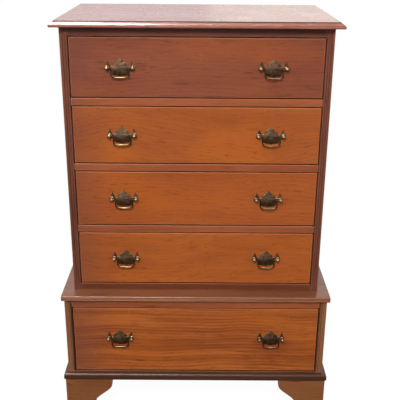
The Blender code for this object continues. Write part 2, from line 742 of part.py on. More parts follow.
def plate_mesh(name):
    """The shaped back plate, mirrored about its middle."""
    wing = [(BOLT_X + x, z) for x, z in PLATE_WING]
    right = [*PLATE_CREST, *wing, *PLATE_POINT]
    left = [(-x, z) for x, z in reversed(right[1:-1])]
    return prism_mesh(name, right + left, 1, -GLUE_GAP - PLATE_THICKNESS, -GLUE_GAP)


def make_plate(name, holder, location, metal):
    """A back plate with its two posts, their bolts and nuts, and the eyes for the bail."""
    piece = add_object(name, plate_mesh(name), metal, holder, location)
    for hand, side in ((-1, "left"), (1, "right")):
        mesh = turned_mesh(name + "_post_" + side, post_profile())
        post = add_object(name + "_post_" + side, mesh, None, holder)
        post.location = Vector(location) + Vector((hand * BOLT_X, 0, 0))
        apply_boolean(piece, post, "UNION")
    bm = bmesh.new()
    for hand in (-1, 1):
        inner = BOLT_X - HEAD_RADIUS
        middle = hand * inner
        matrix = Matrix.Translation((middle, -AXIS_STANDOFF, 0)) @ Matrix.Rotation(pi / 2, 4, "Y")
        bmesh.ops.create_cone(
            bm, cap_ends=True, segments=TURNED_SIDES, radius1=EYE_RADIUS, radius2=EYE_RADIUS,
            depth=2 * EYE_DEPTH, matrix=matrix)
    eyes = add_object(name + "_eyes", finish_mesh(bm, name + "_eyes"), None, holder, location)
    apply_boolean(piece, eyes)
    shade_round(piece)
    return piece


def bail_path():
    """The right half of the bail: (x, z, radius), from its pintle down to its middle."""
    eye_mouth = BOLT_X - HEAD_RADIUS
    tip = eye_mouth + EYE_DEPTH - PINTLE_END_GAP
    neck = tip - PINTLE_LENGTH
    start = neck - PINTLE_RADIUS
    points = [
        (tip, 0.0, PINTLE_RADIUS), (neck, 0.0, PINTLE_RADIUS),
        ((neck + start) / 2, 0.0, BAIL_RADIUS),
    ]
    for step in range(1, 4):
        angle = step / 3 * pi / 2
        x = BAIL_HALF_WIDTH + (start - BAIL_HALF_WIDTH) * (1 - sin(angle))
        points.append((x, -BAIL_SHOULDER * (1 - cos(angle)), BAIL_RADIUS))
    corner_top = -BAIL_DROP + BAIL_CORNER
    for step in range(4):
        angle = step / 4 * pi / 2
        x = BAIL_HALF_WIDTH - BAIL_CORNER * (1 - cos(angle))
        points.append((x, corner_top - BAIL_CORNER * sin(angle) * 0.9, BAIL_RADIUS))
    points.append((BAIL_CORNER, -BAIL_DROP + BAIL_SWELL / 2, BAIL_RADIUS + BAIL_SWELL / 2))
    points.append((0.0, -BAIL_DROP, BAIL_RADIUS + BAIL_SWELL))
    return points


def bail_mesh(name):
    """The bail: a round bar along its path, thicker in the middle."""
    right = bail_path()
    path = right + [(-x, z, radius) for x, z, radius in reversed(right[:-1])]
    rings = []
    for i, (x, z, radius) in enumerate(path):
        before = path[max(i - 1, 0)]
        after = path[min(i + 1, len(path) - 1)]
        along = Vector((after[0] - before[0], 0.0, after[1] - before[1])).normalized()
        across = along.cross(Vector((0.0, 1.0, 0.0)))
        ring = []
        for side in range(TURNED_SIDES):
            angle = side / TURNED_SIDES * 2 * pi
            offset = across * radius * cos(angle) + Vector((0.0, radius * sin(angle), 0.0))
            ring.append(Vector((x, 0.0, z)) + offset)
        rings.append(ring)
    return ring_mesh(name, rings)


def make_pulls(number, sizes, holder, metal):
    """The two pulls of a drawer. Each bail hangs on an empty on its hinge axis."""
    for (x, z), side in zip(pull_centres(sizes), ("left", "right")):
        make_plate("drawer_%d_plate_%s" % (number, side), holder, (x, 0.0, z), metal)
        axis = add_empty("drawer_%d_bail_%s_axis" % (number, side), (x, -AXIS_STANDOFF, z), holder)
        name = "drawer_%d_bail_%s" % (number, side)
        shade_round(add_object(name, bail_mesh(name), metal, axis))


def make_drawer(number, wood, inner_wood, metal):
    """A drawer on an empty at the middle of its face's lower edge, where its slide is."""
    sizes = drawer_sizes(number)
    holder = add_empty("drawer_%d_slide" % number, (0.0, sizes["front_y"], sizes["bottom"]))
    make_drawer_front(number, sizes, holder, wood)
    make_drawer_box(number, sizes, holder, inner_wood)
    make_drawer_bottom(number, sizes, holder, inner_wood)
    make_pulls(number, sizes, holder, metal)


def make_chest():
    """The whole chest."""
    front_wood = make_material("front_wood", (0.36, 0.11, 0.03), 0.35)
    case_wood = make_material("case_wood", (0.20, 0.06, 0.03), 0.40)
    inner_wood = make_material("inner_wood", (0.55, 0.38, 0.20), 0.65)
    panel_wood = make_material("panel_wood", (0.40, 0.26, 0.14), 0.70)
    metal = make_material("aged_brass", (0.16, 0.11, 0.06), 0.38, 1.0)

    make_top_board(case_wood)
    make_upper_side("upper_side_left", -1, case_wood)
    make_upper_side("upper_side_right", 1, case_wood)
    make_upper_frames(front_wood)
    make_top_rails(case_wood)
    make_back_panel("upper_back_panel", HALF_UPPER, WAIST_TOP, CASE_TOP, panel_wood)
    make_waist_board(case_wood)
    make_lower_case(case_wood)
    make_back_panel("lower_back_panel", HALF_LOWER, BASE_TOP, WAIST_BOTTOM, panel_wood)
    make_base(case_wood)
    make_bottom_frame(case_wood)
    for hand, side in ((-1, "left"), (1, "right")):
        make_front_foot(side, hand, case_wood)
        make_rear_foot(side, hand, case_wood)
    for number in range(1, UPPER_DRAWERS + 2):
        make_drawer(number, front_wood, inner_wood, metal)


for existing in list(bpy.data.objects):
    bpy.data.objects.remove(existing, do_unlink=True)
make_chest()
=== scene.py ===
# %% [markdown]
# # Dressing a tall chest of drawers
#
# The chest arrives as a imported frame: sixty plain solids with the right sizes and the right joints.
# This lesson gives it the surfaces of the real thing. Each board is rebuilt as a smooth surface with
# eased edges, mouldings, reeds, dovetails and shaped brass, and each finish is a small recipe of
# shader nodes. A board takes its place from the frame, so the frame stays the one source of sizes.

# %% Load the frame and note its box
import json
from math import pi, radians

import bpy
import numpy as np
from mathutils import Matrix, Vector


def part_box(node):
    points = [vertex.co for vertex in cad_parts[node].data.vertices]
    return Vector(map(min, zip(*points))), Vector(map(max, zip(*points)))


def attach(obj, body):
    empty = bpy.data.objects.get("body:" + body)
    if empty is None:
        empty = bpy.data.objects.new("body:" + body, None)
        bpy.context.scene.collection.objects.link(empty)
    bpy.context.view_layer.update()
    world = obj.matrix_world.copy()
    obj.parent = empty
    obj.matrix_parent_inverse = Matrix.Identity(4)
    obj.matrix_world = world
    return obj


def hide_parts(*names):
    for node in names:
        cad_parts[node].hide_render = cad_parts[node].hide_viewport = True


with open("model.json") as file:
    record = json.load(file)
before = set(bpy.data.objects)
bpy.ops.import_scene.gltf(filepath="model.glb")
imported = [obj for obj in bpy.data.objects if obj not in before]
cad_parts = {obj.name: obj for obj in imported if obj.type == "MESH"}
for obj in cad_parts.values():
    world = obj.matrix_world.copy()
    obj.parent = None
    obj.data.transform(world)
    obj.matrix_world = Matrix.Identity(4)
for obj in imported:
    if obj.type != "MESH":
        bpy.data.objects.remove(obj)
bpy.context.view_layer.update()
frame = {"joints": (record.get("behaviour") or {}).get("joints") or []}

# %% [markdown]
# ## Camera, floor and lamps
#
# The chest is seen from in front, from a standing person's eye, so its top and its waist show as thin
# bright ledges. The lens is a short telephoto, as a person uses who stands back from furniture.
# It is placed by the three angles that a tripod's head sets: turn, tilt and roll.

# %% Camera
EYE = Vector((0.0075, -2.3127, 1.5376))
LENS_MM = 64.11
SENSOR_MM = 36.0
TURN = 0.0020
TILT = 0.3595
ROLL = 0.0072


def aim(turn, tilt, roll):
    """A camera's rotation: it looks along +Y, turns about Z, tips down by tilt, then rolls."""
    level = Matrix.Rotation(-turn, 3, "Z") @ Matrix.Rotation(pi / 2 - tilt, 3, "X")
    return level @ Matrix.Rotation(roll, 3, "Z")


lens = bpy.data.cameras.new("camera")
lens.lens = LENS_MM
lens.sensor_width = SENSOR_MM
lens.dof.use_dof = False
camera = bpy.data.objects.new("camera", lens)
bpy.context.scene.collection.objects.link(camera)
camera.location = EYE
camera.rotation_mode = "QUATERNION"
camera.rotation_quaternion = aim(TURN, TILT, ROLL).to_quaternion()
bpy.context.scene.camera = camera

# %% [markdown]
# ### Lamps
#
# Lacquered wood looks like wood only when it has something pale to reflect. Two wide lamps stand
# behind and above the chest, where a mirror on the top board would show them: they put the milky sheen
# on the ledges, and the warmer one makes the right end paler. The key lamp stands high in front, so the
# top board throws a soft band of shadow on the rail below it. The moulding lamp hangs over the left end
# of the top's front edge. It adds no diffuse light, but its reflection draws the white line along the
# moulding. Two weak lamps fill the sides, cool on the left and warm on the right, which turns
# the finish from rosy to orange across a drawer. The room itself is dim below and brighter above.

# %% Lamps and sky


def add_lamp(name, place, aim_at, size, watts, colour):
    """A soft lamp of size (width, height) at place, turned to aim_at, that the camera doesn't see."""
    lamp = bpy.data.lights.new(name, "AREA")
    lamp.shape = "RECTANGLE"
    lamp.size, lamp.size_y = size
    lamp.energy = watts
    lamp.color = colour
    holder = bpy.data.objects.new(name, lamp)
    bpy.context.scene.collection.objects.link(holder)
    holder.location = place
    holder.rotation_mode = "QUATERNION"
    holder.rotation_quaternion = (Vector(aim_at) - Vector(place)).to_track_quat("-Z", "Y")
    holder.visible_camera = False
    return holder


MIDDLE = (0.0, 0.0, 0.65)
add_lamp("rear_left_lamp", (-1.15, 2.9, 2.6), (-1.15, 0.0, 1.1), (2.45, 2.3), 17, (1.0, 0.95, 0.99))
add_lamp("rear_right_lamp", (0.95, 2.9, 2.6), (0.95, 0.0, 1.1), (2.35, 2.3), 24, (1.0, 0.95, 0.89))
add_lamp("key_lamp", (-0.4, -3.2, 3.3), MIDDLE, (0.8, 0.6), 96, (1.0, 0.985, 0.96))
moulding_lamp = add_lamp("moulding_lamp", (-0.75, -0.30, 2.9), (-0.6, -0.25, 1.3), (1.3, 0.9), 170,
                         (1.0, 0.98, 0.99))
moulding_lamp.visible_diffuse = False
add_lamp("left_lamp", (-3.0, -1.6, 1.8), MIDDLE, (1.6, 1.6), 24, (0.86, 0.90, 1.0))
add_lamp("right_lamp", (3.0, -1.8, 1.8), MIDDLE, (1.6, 1.6), 22, (1.0, 0.93, 0.82))

SKY_BELOW, SKY_ABOVE = 0.10, 0.55
SKY_RISE_START, SKY_RISE_END = -0.25, 0.35
sky = bpy.data.worlds.new("pale_room")
sky.use_nodes = True
sky_nodes, sky_links = sky.node_tree.nodes, sky.node_tree.links
direction = sky_nodes.new("ShaderNodeTexCoord")
height = sky_nodes.new("ShaderNodeSeparateXYZ")
level = sky_nodes.new("ShaderNodeMapRange")
level.inputs["From Min"].default_value = SKY_RISE_START
level.inputs["From Max"].default_value = SKY_RISE_END
level.inputs["To Min"].default_value = SKY_BELOW
level.inputs["To Max"].default_value = SKY_ABOVE
sky_links.new(direction.outputs["Generated"], height.inputs[0])
sky_links.new(height.outputs["Z"], level.inputs["Value"])
sky_links.new(level.outputs[0], sky_nodes["Background"].inputs["Strength"])
sky_nodes["Background"].inputs["Color"].default_value = (1.0, 0.98, 0.97, 1.0)
bpy.context.scene.world = sky
bpy.context.scene.view_settings.view_transform = "Standard"
print("six lamps, and a room from", SKY_BELOW, "below to", SKY_ABOVE, "above")

# %% [markdown]
# ### Floor and backdrop
#
# The chest stands on white paper that runs up into a white dome. Both are lit to a clean white for the
# camera, and both are left out of the bounced and mirrored light. A dark-polished front would
# otherwise mirror so much white floor that its colour turned to milk.

# %% Floor and backdrop
PAPER_RADIUS = 30.0
PAPER_DROP = 0.0005


def paper(name, glow, albedo):
    """White paper: a matt diffuse sheet that glows a little by itself."""
    material = bpy.data.materials.new(name)
    material.use_nodes = True
    sheet = material.node_tree.nodes["Principled BSDF"]
    sheet.inputs["Base Color"].default_value = (albedo, albedo, albedo, 1.0)
    sheet.inputs["Roughness"].default_value = 0.9
    sheet.inputs["Specular IOR Level"].default_value = 0.0
    sheet.inputs["Emission Color"].default_value = (1.0, 1.0, 1.0, 1.0)
    sheet.inputs["Emission Strength"].default_value = glow
    return material


def turned_stage(name, profile, material, faces_up, sides=96):
    """A stage surface: a profile of (radius, height) spun about Z, with its middle closed by a face."""
    rows = np.array(profile, float)
    angle = np.linspace(0.0, 2 * pi, sides, endpoint=False)
    grid = np.stack((rows[:, :1] * np.cos(angle), rows[:, :1] * np.sin(angle),
                     np.broadcast_to(rows[:, 1:], (len(rows), sides))), 2)
    index = np.arange(len(rows) * sides).reshape(len(rows), sides)
    beside = np.roll(index, -1, 1)
    quads = np.stack((index[:-1], beside[:-1], beside[1:], index[1:]), -1).reshape(-1, 4)
    mesh = bpy.data.meshes.new(name)
    faces = quads.tolist() + [index[0][::-1].tolist()]
    if faces_up:
        faces = [face[::-1] for face in faces]
    mesh.from_pydata(grid.reshape(-1, 3).tolist(), [], faces)
    mesh.shade_smooth()
    mesh.materials.append(material)
    sheet = bpy.data.objects.new(name, mesh)
    bpy.context.scene.collection.objects.link(sheet)
    sheet.visible_diffuse = False
    sheet.visible_glossy = False
    sheet.visible_shadow = False


turned_stage("floor", [(0.5, -PAPER_DROP), (3.0, -PAPER_DROP), (PAPER_RADIUS, -PAPER_DROP)],
             paper("floor_paper", 0.975, 0.05), True)
rise = np.linspace(0.0, pi / 2 - 0.02, 24)
dome_rows = np.stack((PAPER_RADIUS * np.cos(rise), PAPER_RADIUS * np.sin(rise) - PAPER_DROP), 1)[::-1]
turned_stage("backdrop", dome_rows, paper("backdrop_paper", 1.0, 0.0), False)
print("paper floor and dome,", PAPER_RADIUS, "m in radius")

# %% [markdown]
# ## Shader sums
#
# A finish is arithmetic on a few patterns. Wiring that arithmetic by hand hides it, so a `Signal` wraps
# one node socket and lets Python's own operators add the Math nodes: `1 - mask * 0.4` reads as what it
# does. A `Finish` holds one material, and its `node` method makes any other node from its type, its
# settings and its inputs.

# %% Signal: one socket that can be written in sums


class Signal:
    """A value, colour or vector on its way through a finish."""

    def __init__(self, finish, socket):
        self.finish = finish
        self.socket = socket

    def sum(self, operation, first, second=0.0, clamp=False):
        """A Math node on two values, each a Signal or a number."""
        settings = {"operation": operation, "use_clamp": clamp}
        return self.finish.node("ShaderNodeMath", settings, {0: first, 1: second})

    def __add__(self, other):
        return self.sum("ADD", self, other)

    def __radd__(self, other):
        return self.sum("ADD", other, self)

    def __sub__(self, other):
        return self.sum("SUBTRACT", self, other)

    def __rsub__(self, other):
        return self.sum("SUBTRACT", other, self)

    def __mul__(self, other):
        return self.sum("MULTIPLY", self, other)

    def __rmul__(self, other):
        return self.sum("MULTIPLY", other, self)

    def __pow__(self, other):
        return self.sum("POWER", self, other)

    def wave(self):
        """Its sine."""
        return self.sum("SINE", self)

    def size(self):
        """Its absolute value."""
        return self.sum("ABSOLUTE", self)

    def clamped(self):
        """Itself, kept between 0 and 1."""
        return self.sum("ADD", self, 0.0, clamp=True)

    def fade(self, low, high):
        """0 below low, 1 above high, and a smooth step between them. low may be the larger."""
        settings = {"interpolation_type": "SMOOTHSTEP"}
        rising = low < high
        ends = (low, high) if rising else (high, low)
        levels = (0.0, 1.0) if rising else (1.0, 0.0)
        inputs = {"Value": self, "From Min": ends[0], "From Max": ends[1],
                  "To Min": levels[0], "To Max": levels[1]}
        return self.finish.node("ShaderNodeMapRange", settings, inputs)


# %% Finish: one material and its nodes


class Finish:
    """A material under construction."""

    def __init__(self, name):
        self.material = bpy.data.materials.new(name)
        self.material.use_nodes = True
        self.tree = self.material.node_tree
        self.shader = self.tree.nodes["Principled BSDF"]

    def node(self, kind, settings=None, inputs=None, output=0):
        """Any node: its type, its settings first, then a value or a link for each socket."""
        made = self.tree.nodes.new(kind)
        for key, value in (settings or {}).items():
            setattr(made, key, value)
        for key, value in (inputs or {}).items():
            self.feed(made.inputs[key], value)
        return Signal(self, made.outputs[output])

    def feed(self, socket, value):
        """Link a Signal to a socket, or set the socket's own value."""
        if isinstance(value, Signal):
            self.tree.links.new(value.socket, socket)
        else:
            socket.default_value = value

    def shade(self, **sockets):
        """Feed the shader's sockets, whose names are written with _ for a space."""
        for name, value in sockets.items():
            self.feed(self.shader.inputs[name.replace("_", " ")], value)
        return self.material

    def place(self, scale=(1.0, 1.0, 1.0), shift=(0.0, 0.0, 0.0), turn=(0.0, 0.0, 0.0), start=None):
        """Object coordinates, or those of start, multiplied by scale, then turned and moved."""
        here = start or self.node("ShaderNodeTexCoord", output=3)
        settings = {"vector_type": "POINT"}
        inputs = {"Vector": here, "Location": shift, "Rotation": turn, "Scale": scale}
        return self.node("ShaderNodeMapping", settings, inputs)

    def noise(self, where, scale=1.0, detail=2.0, rough=0.5):
        """Soft noise around 0.5 at a place."""
        inputs = {"Vector": where, "Scale": scale, "Detail": detail, "Roughness": rough}
        return self.node("ShaderNodeTexNoise", None, inputs)

    def cells(self, where, scale=1.0, output=0):
        """Distance to the nearest of scattered points, or that point's own random colour."""
        return self.node("ShaderNodeTexVoronoi", None, {"Vector": where, "Scale": scale}, output)

    def mix(self, share, first, second):
        """Two colours, the second by its share."""
        settings = {"data_type": "RGBA", "clamp_factor": True}
        return self.node("ShaderNodeMix", settings, {0: share, 6: first, 7: second}, output=2)

    def own(self, attribute):
        """A value that the piece's mesh carries at each of its points."""
        return self.node("ShaderNodeAttribute", {"attribute_name": attribute}, output=2)

    def bump(self, height, depth):
        """A normal that rises and falls with height, by depth in metres."""
        return self.node("ShaderNodeBump", None, {"Height": height, "Distance": depth})


print("signals and finishes are ready")

# %% [markdown]
# ## Wood under lacquer
#
# The show wood is a close-grained hardwood, stained red-brown and lacquered. What the eye reads is
# layered: slow drifts of colour, bands along the grain, growth rings cut at a slant, fine pores, and on
# top of those the years, as small knots, pale scratches and edges rubbed through to lighter wood.
# Painted light is mixed in as well: the rubbed edges also carry a painted highlight, grooves and gaps
# a painted shade along with their grime, and the left end of a front or rail a painted shade.
# Every pattern is stretched along the board's own grain. One function mixes them all, and each board
# gets its own numbers, because no two boards come from the same place in the tree.

# %% Wood recipe
AXES = {"X": 0, "Y": 1, "Z": 2}


def tint(red, green, blue):
    """A colour from its usual 0 to 255 values, as the linear light that shaders work in."""
    share = np.array((red, green, blue)) / 255.0
    linear = np.where(share < 0.04045, share / 12.92, ((share + 0.055) / 1.055) ** 2.4)
    return (*linear.tolist(), 1.0)


# A dull pink for the left end of fronts and rails: painted shade and a painted reflection.
LEFT_END_SHADE_COLOUR = tint(112, 68, 60)
# Paler wood for rubbed arrises: worn wood, and a painted highlight along each edge.
RUBBED_AND_HIGHLIGHT = tint(206, 132, 84)
# Near black for grooves and drawer gaps: grime, and painted shade.
GRIME_AND_PAINTED_SHADE = tint(30, 15, 12)


def along_grain(grain, along, across):
    """Pattern repeats per metre, along the grain and across it."""
    return tuple(along if axis == AXES[grain] else across for axis in range(3))


def swayed(finish, grain, shift, sway):
    """Object coordinates moved across the grain, by up to sway metres, by a slow noise.

    Every pattern read at these coordinates bends with them, as a board's figure does.
    """
    where = finish.place(along_grain(grain, 2.6, 4.0), shift)
    push = finish.node("ShaderNodeTexNoise", None, {"Vector": where, "Scale": 1.0, "Detail": 1.5}, 1)
    amounts = tuple(0.0 if axis == AXES[grain] else sway for axis in range(3))
    here = finish.node("ShaderNodeTexCoord", output=3)
    inputs = {0: push, 1: amounts, 2: here}
    return finish.node("ShaderNodeVectorMath", {"operation": "MULTIPLY_ADD"}, inputs)


def growth_rings(finish, grain, seed, pith, pitch, wander, start=None):
    """The sine of the distance from the tree's middle, which wanders slowly along the grain."""
    here = finish.place(shift=pith, start=start)
    wobble = finish.noise(finish.place(along_grain(grain, 1.3, 5.0), (seed, seed, seed)), 1.0, 2.0)
    parts = [finish.node("ShaderNodeSeparateXYZ", None, {0: here}, axis) for axis in range(3)]
    first, second = [part for axis, part in enumerate(parts) if axis != AXES[grain]]
    distance = (first * first + second * second) ** 0.5
    return ((distance + wobble * wander) * (2 * pi / pitch)).wave()


def scratches(finish, seed, angle, fineness, rarity):
    """Thin broken lines: where a stretched noise passes its middle, shown only in patches."""
    turned = finish.place(turn=(angle, angle * 1.7, angle * 0.6), shift=(seed, 0.0, seed))
    drawn = finish.noise(finish.place((5.0, 42.0, 30.0), start=turned), 1.0, 1.0)
    patches = finish.noise(finish.place((9.0, 9.0, 9.0), (seed, 3.0, seed)), 1.0, 1.0)
    return (drawn - 0.5).size().fade(fineness, 0.0) * patches.fade(rarity, rarity + 0.06)


def lacquered_wood(name, grain, seed, pale, deep, dark, pith=(0.0, 0.09, -0.05), bands=0.40,
                   band_width=26.0, rings=0.07, ring_pitch=0.012, knots=0.45, scars=0.5, gloss=0.34,
                   shine=0.25, contrast=0.26, sway=0.03, dashes=0.30, glow=None, left_end_shade=0.0):
    """A stained and lacquered board whose patterns run along its grain."""
    wood = Finish(name)
    shift = (seed * 1.7, seed * 0.9, seed * 2.3)
    here = swayed(wood, grain, shift, sway)
    drift = wood.noise(wood.place(along_grain(grain, 2.2, 7.0), shift, start=here), 1.0, 3.0)
    band = wood.noise(wood.place(along_grain(grain, 0.8, band_width), shift, start=here), 1.0, 4.0, 0.6)
    ring = growth_rings(wood, grain, seed, pith, ring_pitch, 0.045, here)
    fibre = wood.noise(wood.place(along_grain(grain, 14.0, 260.0), shift, start=here), 1.0, 3.0, 0.65)
    pore = wood.noise(wood.place(along_grain(grain, 60.0, 1900.0), shift), 1.0, 1.0).fade(0.60, 0.70)
    dash = wood.noise(wood.place(along_grain(grain, 20.0, 270.0), shift, start=here), 1.0, 2.0, 0.7)
    patchy = wood.noise(wood.place(along_grain(grain, 3.0, 9.0), (seed, 0.0, seed)), 1.0, 1.0)
    tone = drift * (1.0 - bands) + band * bands + ring * patchy * rings + (fibre - 0.5) * 0.20
    colour = wood.mix(tone.fade(0.5 - contrast, 0.5 + contrast), pale, deep)
    if glow:
        lit = wood.noise(wood.place(along_grain(grain, 3.4, 6.0), (seed, seed, 0.0), start=here), 1.0, 2.0)
        colour = wood.mix(lit.fade(0.46, 0.70) * 0.55, colour, glow)

    knot_place = wood.place(along_grain(grain, 8.0, 34.0), shift, start=here)
    thinned = wood.node("ShaderNodeSeparateColor", None, {0: wood.cells(knot_place, 1.0, 1)})
    smudge = wood.cells(knot_place).fade(0.34, 0.05) * thinned.fade(0.78, 0.84)
    burr = smudge * (0.5 + fibre) * knots
    streak = dash.fade(0.55, 0.72) * (patchy + 0.35) * dashes
    colour = wood.mix((burr + streak + pore * 0.20).clamped(), colour, dark)
    # Towards the left end the colour turns duller and pinker: painted shade and a painted reflection.
    if left_end_shade:
        left = wood.node("ShaderNodeSeparateXYZ", None, {0: wood.place()})
        colour = wood.mix(left.fade(-0.24, -0.42) * left_end_shade, colour, LEFT_END_SHADE_COLOUR)

    wear = wood.own("wear")
    # The rubbed mask paints eased arrises lighter: worn edges, and a painted highlight where light catches
    # them.
    rubbed = (wear * (0.45 + drift)).fade(0.25, 0.85)
    # Below 0 the value paints grooves and the faces in a drawer's gap dark: grime, and painted shade.
    grime_and_shade = (wear * -1.0).fade(0.0, 1.0)
    light = scratches(wood, seed, 0.5 + seed, 0.010, 0.60) * scars
    worn_and_highlit_colour = wood.mix(0.45, colour, RUBBED_AND_HIGHLIGHT)
    colour = wood.mix((rubbed * 0.55 + light).clamped(), colour, worn_and_highlit_colour)
    colour = wood.mix(grime_and_shade * 0.80, colour, GRIME_AND_PAINTED_SHADE)

    smears = wood.noise(wood.place((7.0, 7.0, 7.0), shift), 1.0, 3.0)
    roughness = gloss + (smears - 0.5) * 0.22 + rubbed * 0.12 + light * 0.25 + grime_and_shade * 0.25
    height = fibre * 0.5 - pore * 0.8 - light * 1.2 + band * 0.6 - dash * 0.3
    wood.shader.inputs["Specular IOR Level"].default_value = shine
    wood.shader.inputs["Coat Weight"].default_value = 0.10
    wood.shader.inputs["Coat Roughness"].default_value = 0.20
    return wood.shade(Base_Color=colour, Roughness=roughness.clamped(), Normal=wood.bump(height, 0.00022))


def raw_wood(name, grain, seed, pale, deep, rough=0.62, band_width=60.0, layers=0.0):
    """A bare board: bands, fine fibre, a few dark flecks, dust, and no lacquer."""
    wood = Finish(name)
    shift = (seed * 1.3, seed * 2.1, seed * 0.7)
    drift = wood.noise(wood.place(along_grain(grain, 1.6, 5.0), shift), 1.0, 3.0)
    band = wood.noise(wood.place(along_grain(grain, 1.2, band_width), shift), 1.0, 4.0, 0.6)
    ring = growth_rings(wood, grain, seed, (0.02, 0.05, -0.08), 0.014, 0.035)
    fibre = wood.noise(wood.place(along_grain(grain, 16.0, 520.0), shift), 1.0, 3.0, 0.65)
    tone = drift * 0.45 + band * 0.4 + ring * 0.10 + (fibre - 0.5) * 0.5
    colour = wood.mix(tone.fade(0.25, 0.75), pale, deep)
    stains = wood.noise(wood.place((5.0, 5.0, 5.0), shift), 1.0, 4.0).fade(0.58, 0.80)
    colour = wood.mix(stains * 0.35, colour, tint(92, 66, 44))
    wear = wood.own("wear")
    colour = wood.mix(wear.fade(0.2, 1.0) * 0.25, colour, tint(120, 88, 60))
    if layers:
        height = wood.node("ShaderNodeSeparateXYZ", None, {0: wood.place()}, int(layers))
        ply = (height * (2 * pi / 0.0018)).wave().fade(-0.2, 0.5)
        colour = wood.mix(ply * wear.fade(0.3, 0.9) * 0.5, colour, tint(90, 58, 34))
    roughness = rough + (drift - 0.5) * 0.2
    relief = fibre + band * 0.5
    return wood.shade(Base_Color=colour, Roughness=roughness.clamped(), Normal=wood.bump(relief, 0.0003))


print("wood recipes are ready")

# %% [markdown]
# ## Old brass
#
# The pulls are cast or stamped brass with a dark lacquer. Hands have rubbed it off where they touch:
# the ball heads, the bottom of each bail, the edges of the plates. So the recipe is mostly dark
# bronze, with a mesh attribute that says how exposed each point is.

# %% Brass recipe


def antique_brass(name, seed, dark, bright, polish=0.36):
    """Dark patinated brass, rubbed bright where its mesh is worn."""
    brass = Finish(name)
    shift = (seed, seed * 2.0, seed * 3.0)
    cloud = brass.noise(brass.place((90.0, 90.0, 90.0), shift), 1.0, 4.0, 0.6)
    grit = brass.noise(brass.place((900.0, 900.0, 900.0), shift), 1.0, 2.0)
    wear = brass.own("wear")
    rubbed = (wear * (0.55 + cloud)).fade(0.30, 0.95)
    base = brass.mix(cloud.fade(0.35, 0.7), dark, tint(74, 58, 44))
    colour = brass.mix(rubbed, base, bright)
    colour = brass.mix(grit.fade(0.60, 0.75) * 0.35, colour, tint(30, 24, 20))
    roughness = polish + cloud * 0.16 - rubbed * 0.12 + grit * 0.08
    brass.shader.inputs["Metallic"].default_value = 1.0
    return brass.shade(Base_Color=colour, Roughness=roughness.clamped(), Normal=brass.bump(grit, 0.00012))


print("brass recipe is ready")

# %% [markdown]
# ## Surfaces from numpy
#
# A board is an outline carried along a straight path. Its outline's corners are eased, as a maker's
# plane eases them, and its ends are eased by drawing the outline in as the path begins and ends. Both
# are plain formulas on whole arrays. Each point also carries a value that the finishes read: 1 on an
# eased arris, painted lighter as a worn edge and as a painted highlight, 0 on a flat face, and below 0
# in a groove or a drawer's gap, painted dark as grime and as painted shade.

# %% Outlines
EASE_STEPS = 3
MARGIN = 0.0022
SHARP_TURN = radians(18)
LEAST_RADIUS = 0.00004


def counter_clockwise(points):
    """A closed outline's points, turned round if the area they go about is negative."""
    corner = np.array(points, float)
    after = np.roll(corner, -1, 0)
    area = (corner[:, 0] * after[:, 1] - corner[:, 1] * after[:, 0]).sum()
    return corner[::-1] if area < 0 else corner


def ease(points, radius, margin=MARGIN, steps=EASE_STEPS):
    """A closed outline with each outward corner rounded: two tangent points and an arc between.

    At a corner that turns by t, the tangent points lie radius * tan(t / 2) back from it, and the arc's
    centre lies radius inwards of them. Outside the arc a margin point starts the flat face, with the
    value 0. Returns the points, counter-clockwise, and their values: 1 on the arc, where the finish
    paints a worn edge and a painted highlight.
    """
    corner = counter_clockwise(points)
    leave = np.roll(corner, -1, 0) - corner
    length = np.linalg.norm(leave, axis=1)
    leave = leave / length[:, None]
    arrive = np.roll(leave, 1, 0)
    room = np.minimum(length, np.roll(length, 1)) / 2
    turn = np.arctan2(arrive[:, 0] * leave[:, 1] - arrive[:, 1] * leave[:, 0], (arrive * leave).sum(1))
    eased = turn > SHARP_TURN
    reach = np.minimum(radius * np.tan(np.clip(turn, 0, 2.6) / 2), room * 0.9)
    reach = np.where(eased, reach, 0.0)
    bend = np.where(eased, reach / np.tan(np.clip(turn, 0.01, 2.6) / 2), 0.0)
    inward = np.stack((-arrive[:, 1], arrive[:, 0]), 1)
    centre = corner - arrive * reach[:, None] + inward * bend[:, None]
    share = np.linspace(0.0, 1.0, steps + 1)
    angle = share[None, :] * turn[:, None]
    spin_x = inward[:, None, 0] * np.cos(angle) - inward[:, None, 1] * np.sin(angle)
    spin_y = inward[:, None, 0] * np.sin(angle) + inward[:, None, 1] * np.cos(angle)
    arc = centre[:, None, :] - np.stack((spin_x, spin_y), 2) * bend[:, None, None]
    flat = np.minimum(reach + margin, room * 0.97)[:, None, None]
    first = corner[:, None, :] - arrive[:, None, :] * flat
    last = corner[:, None, :] + leave[:, None, :] * flat
    outline = np.concatenate((first, arc, last), 1)
    wear = np.zeros(outline.shape[:2])
    wear[:, 1:-1] = 1.0
    keep = np.ones(outline.shape[:2], bool)
    keep[~eased] = False
    keep[~eased, 1] = True
    wear[~eased] = 0.0
    return outline[keep], wear[keep]


def drawn_in(outline, distance):
    """A counter-clockwise outline moved inwards: each corner slides along its bisector."""
    leave = np.roll(outline, -1, 0) - outline
    leave = leave / np.maximum(np.linalg.norm(leave, axis=1), 1e-9)[:, None]
    arrive = np.roll(leave, 1, 0)
    inward_a = np.stack((-arrive[:, 1], arrive[:, 0]), 1)
    inward_b = np.stack((-leave[:, 1], leave[:, 0]), 1)
    spread = np.maximum(1.0 + (inward_a * inward_b).sum(1), 0.35)
    return outline + distance * (inward_a + inward_b) / spread[:, None]


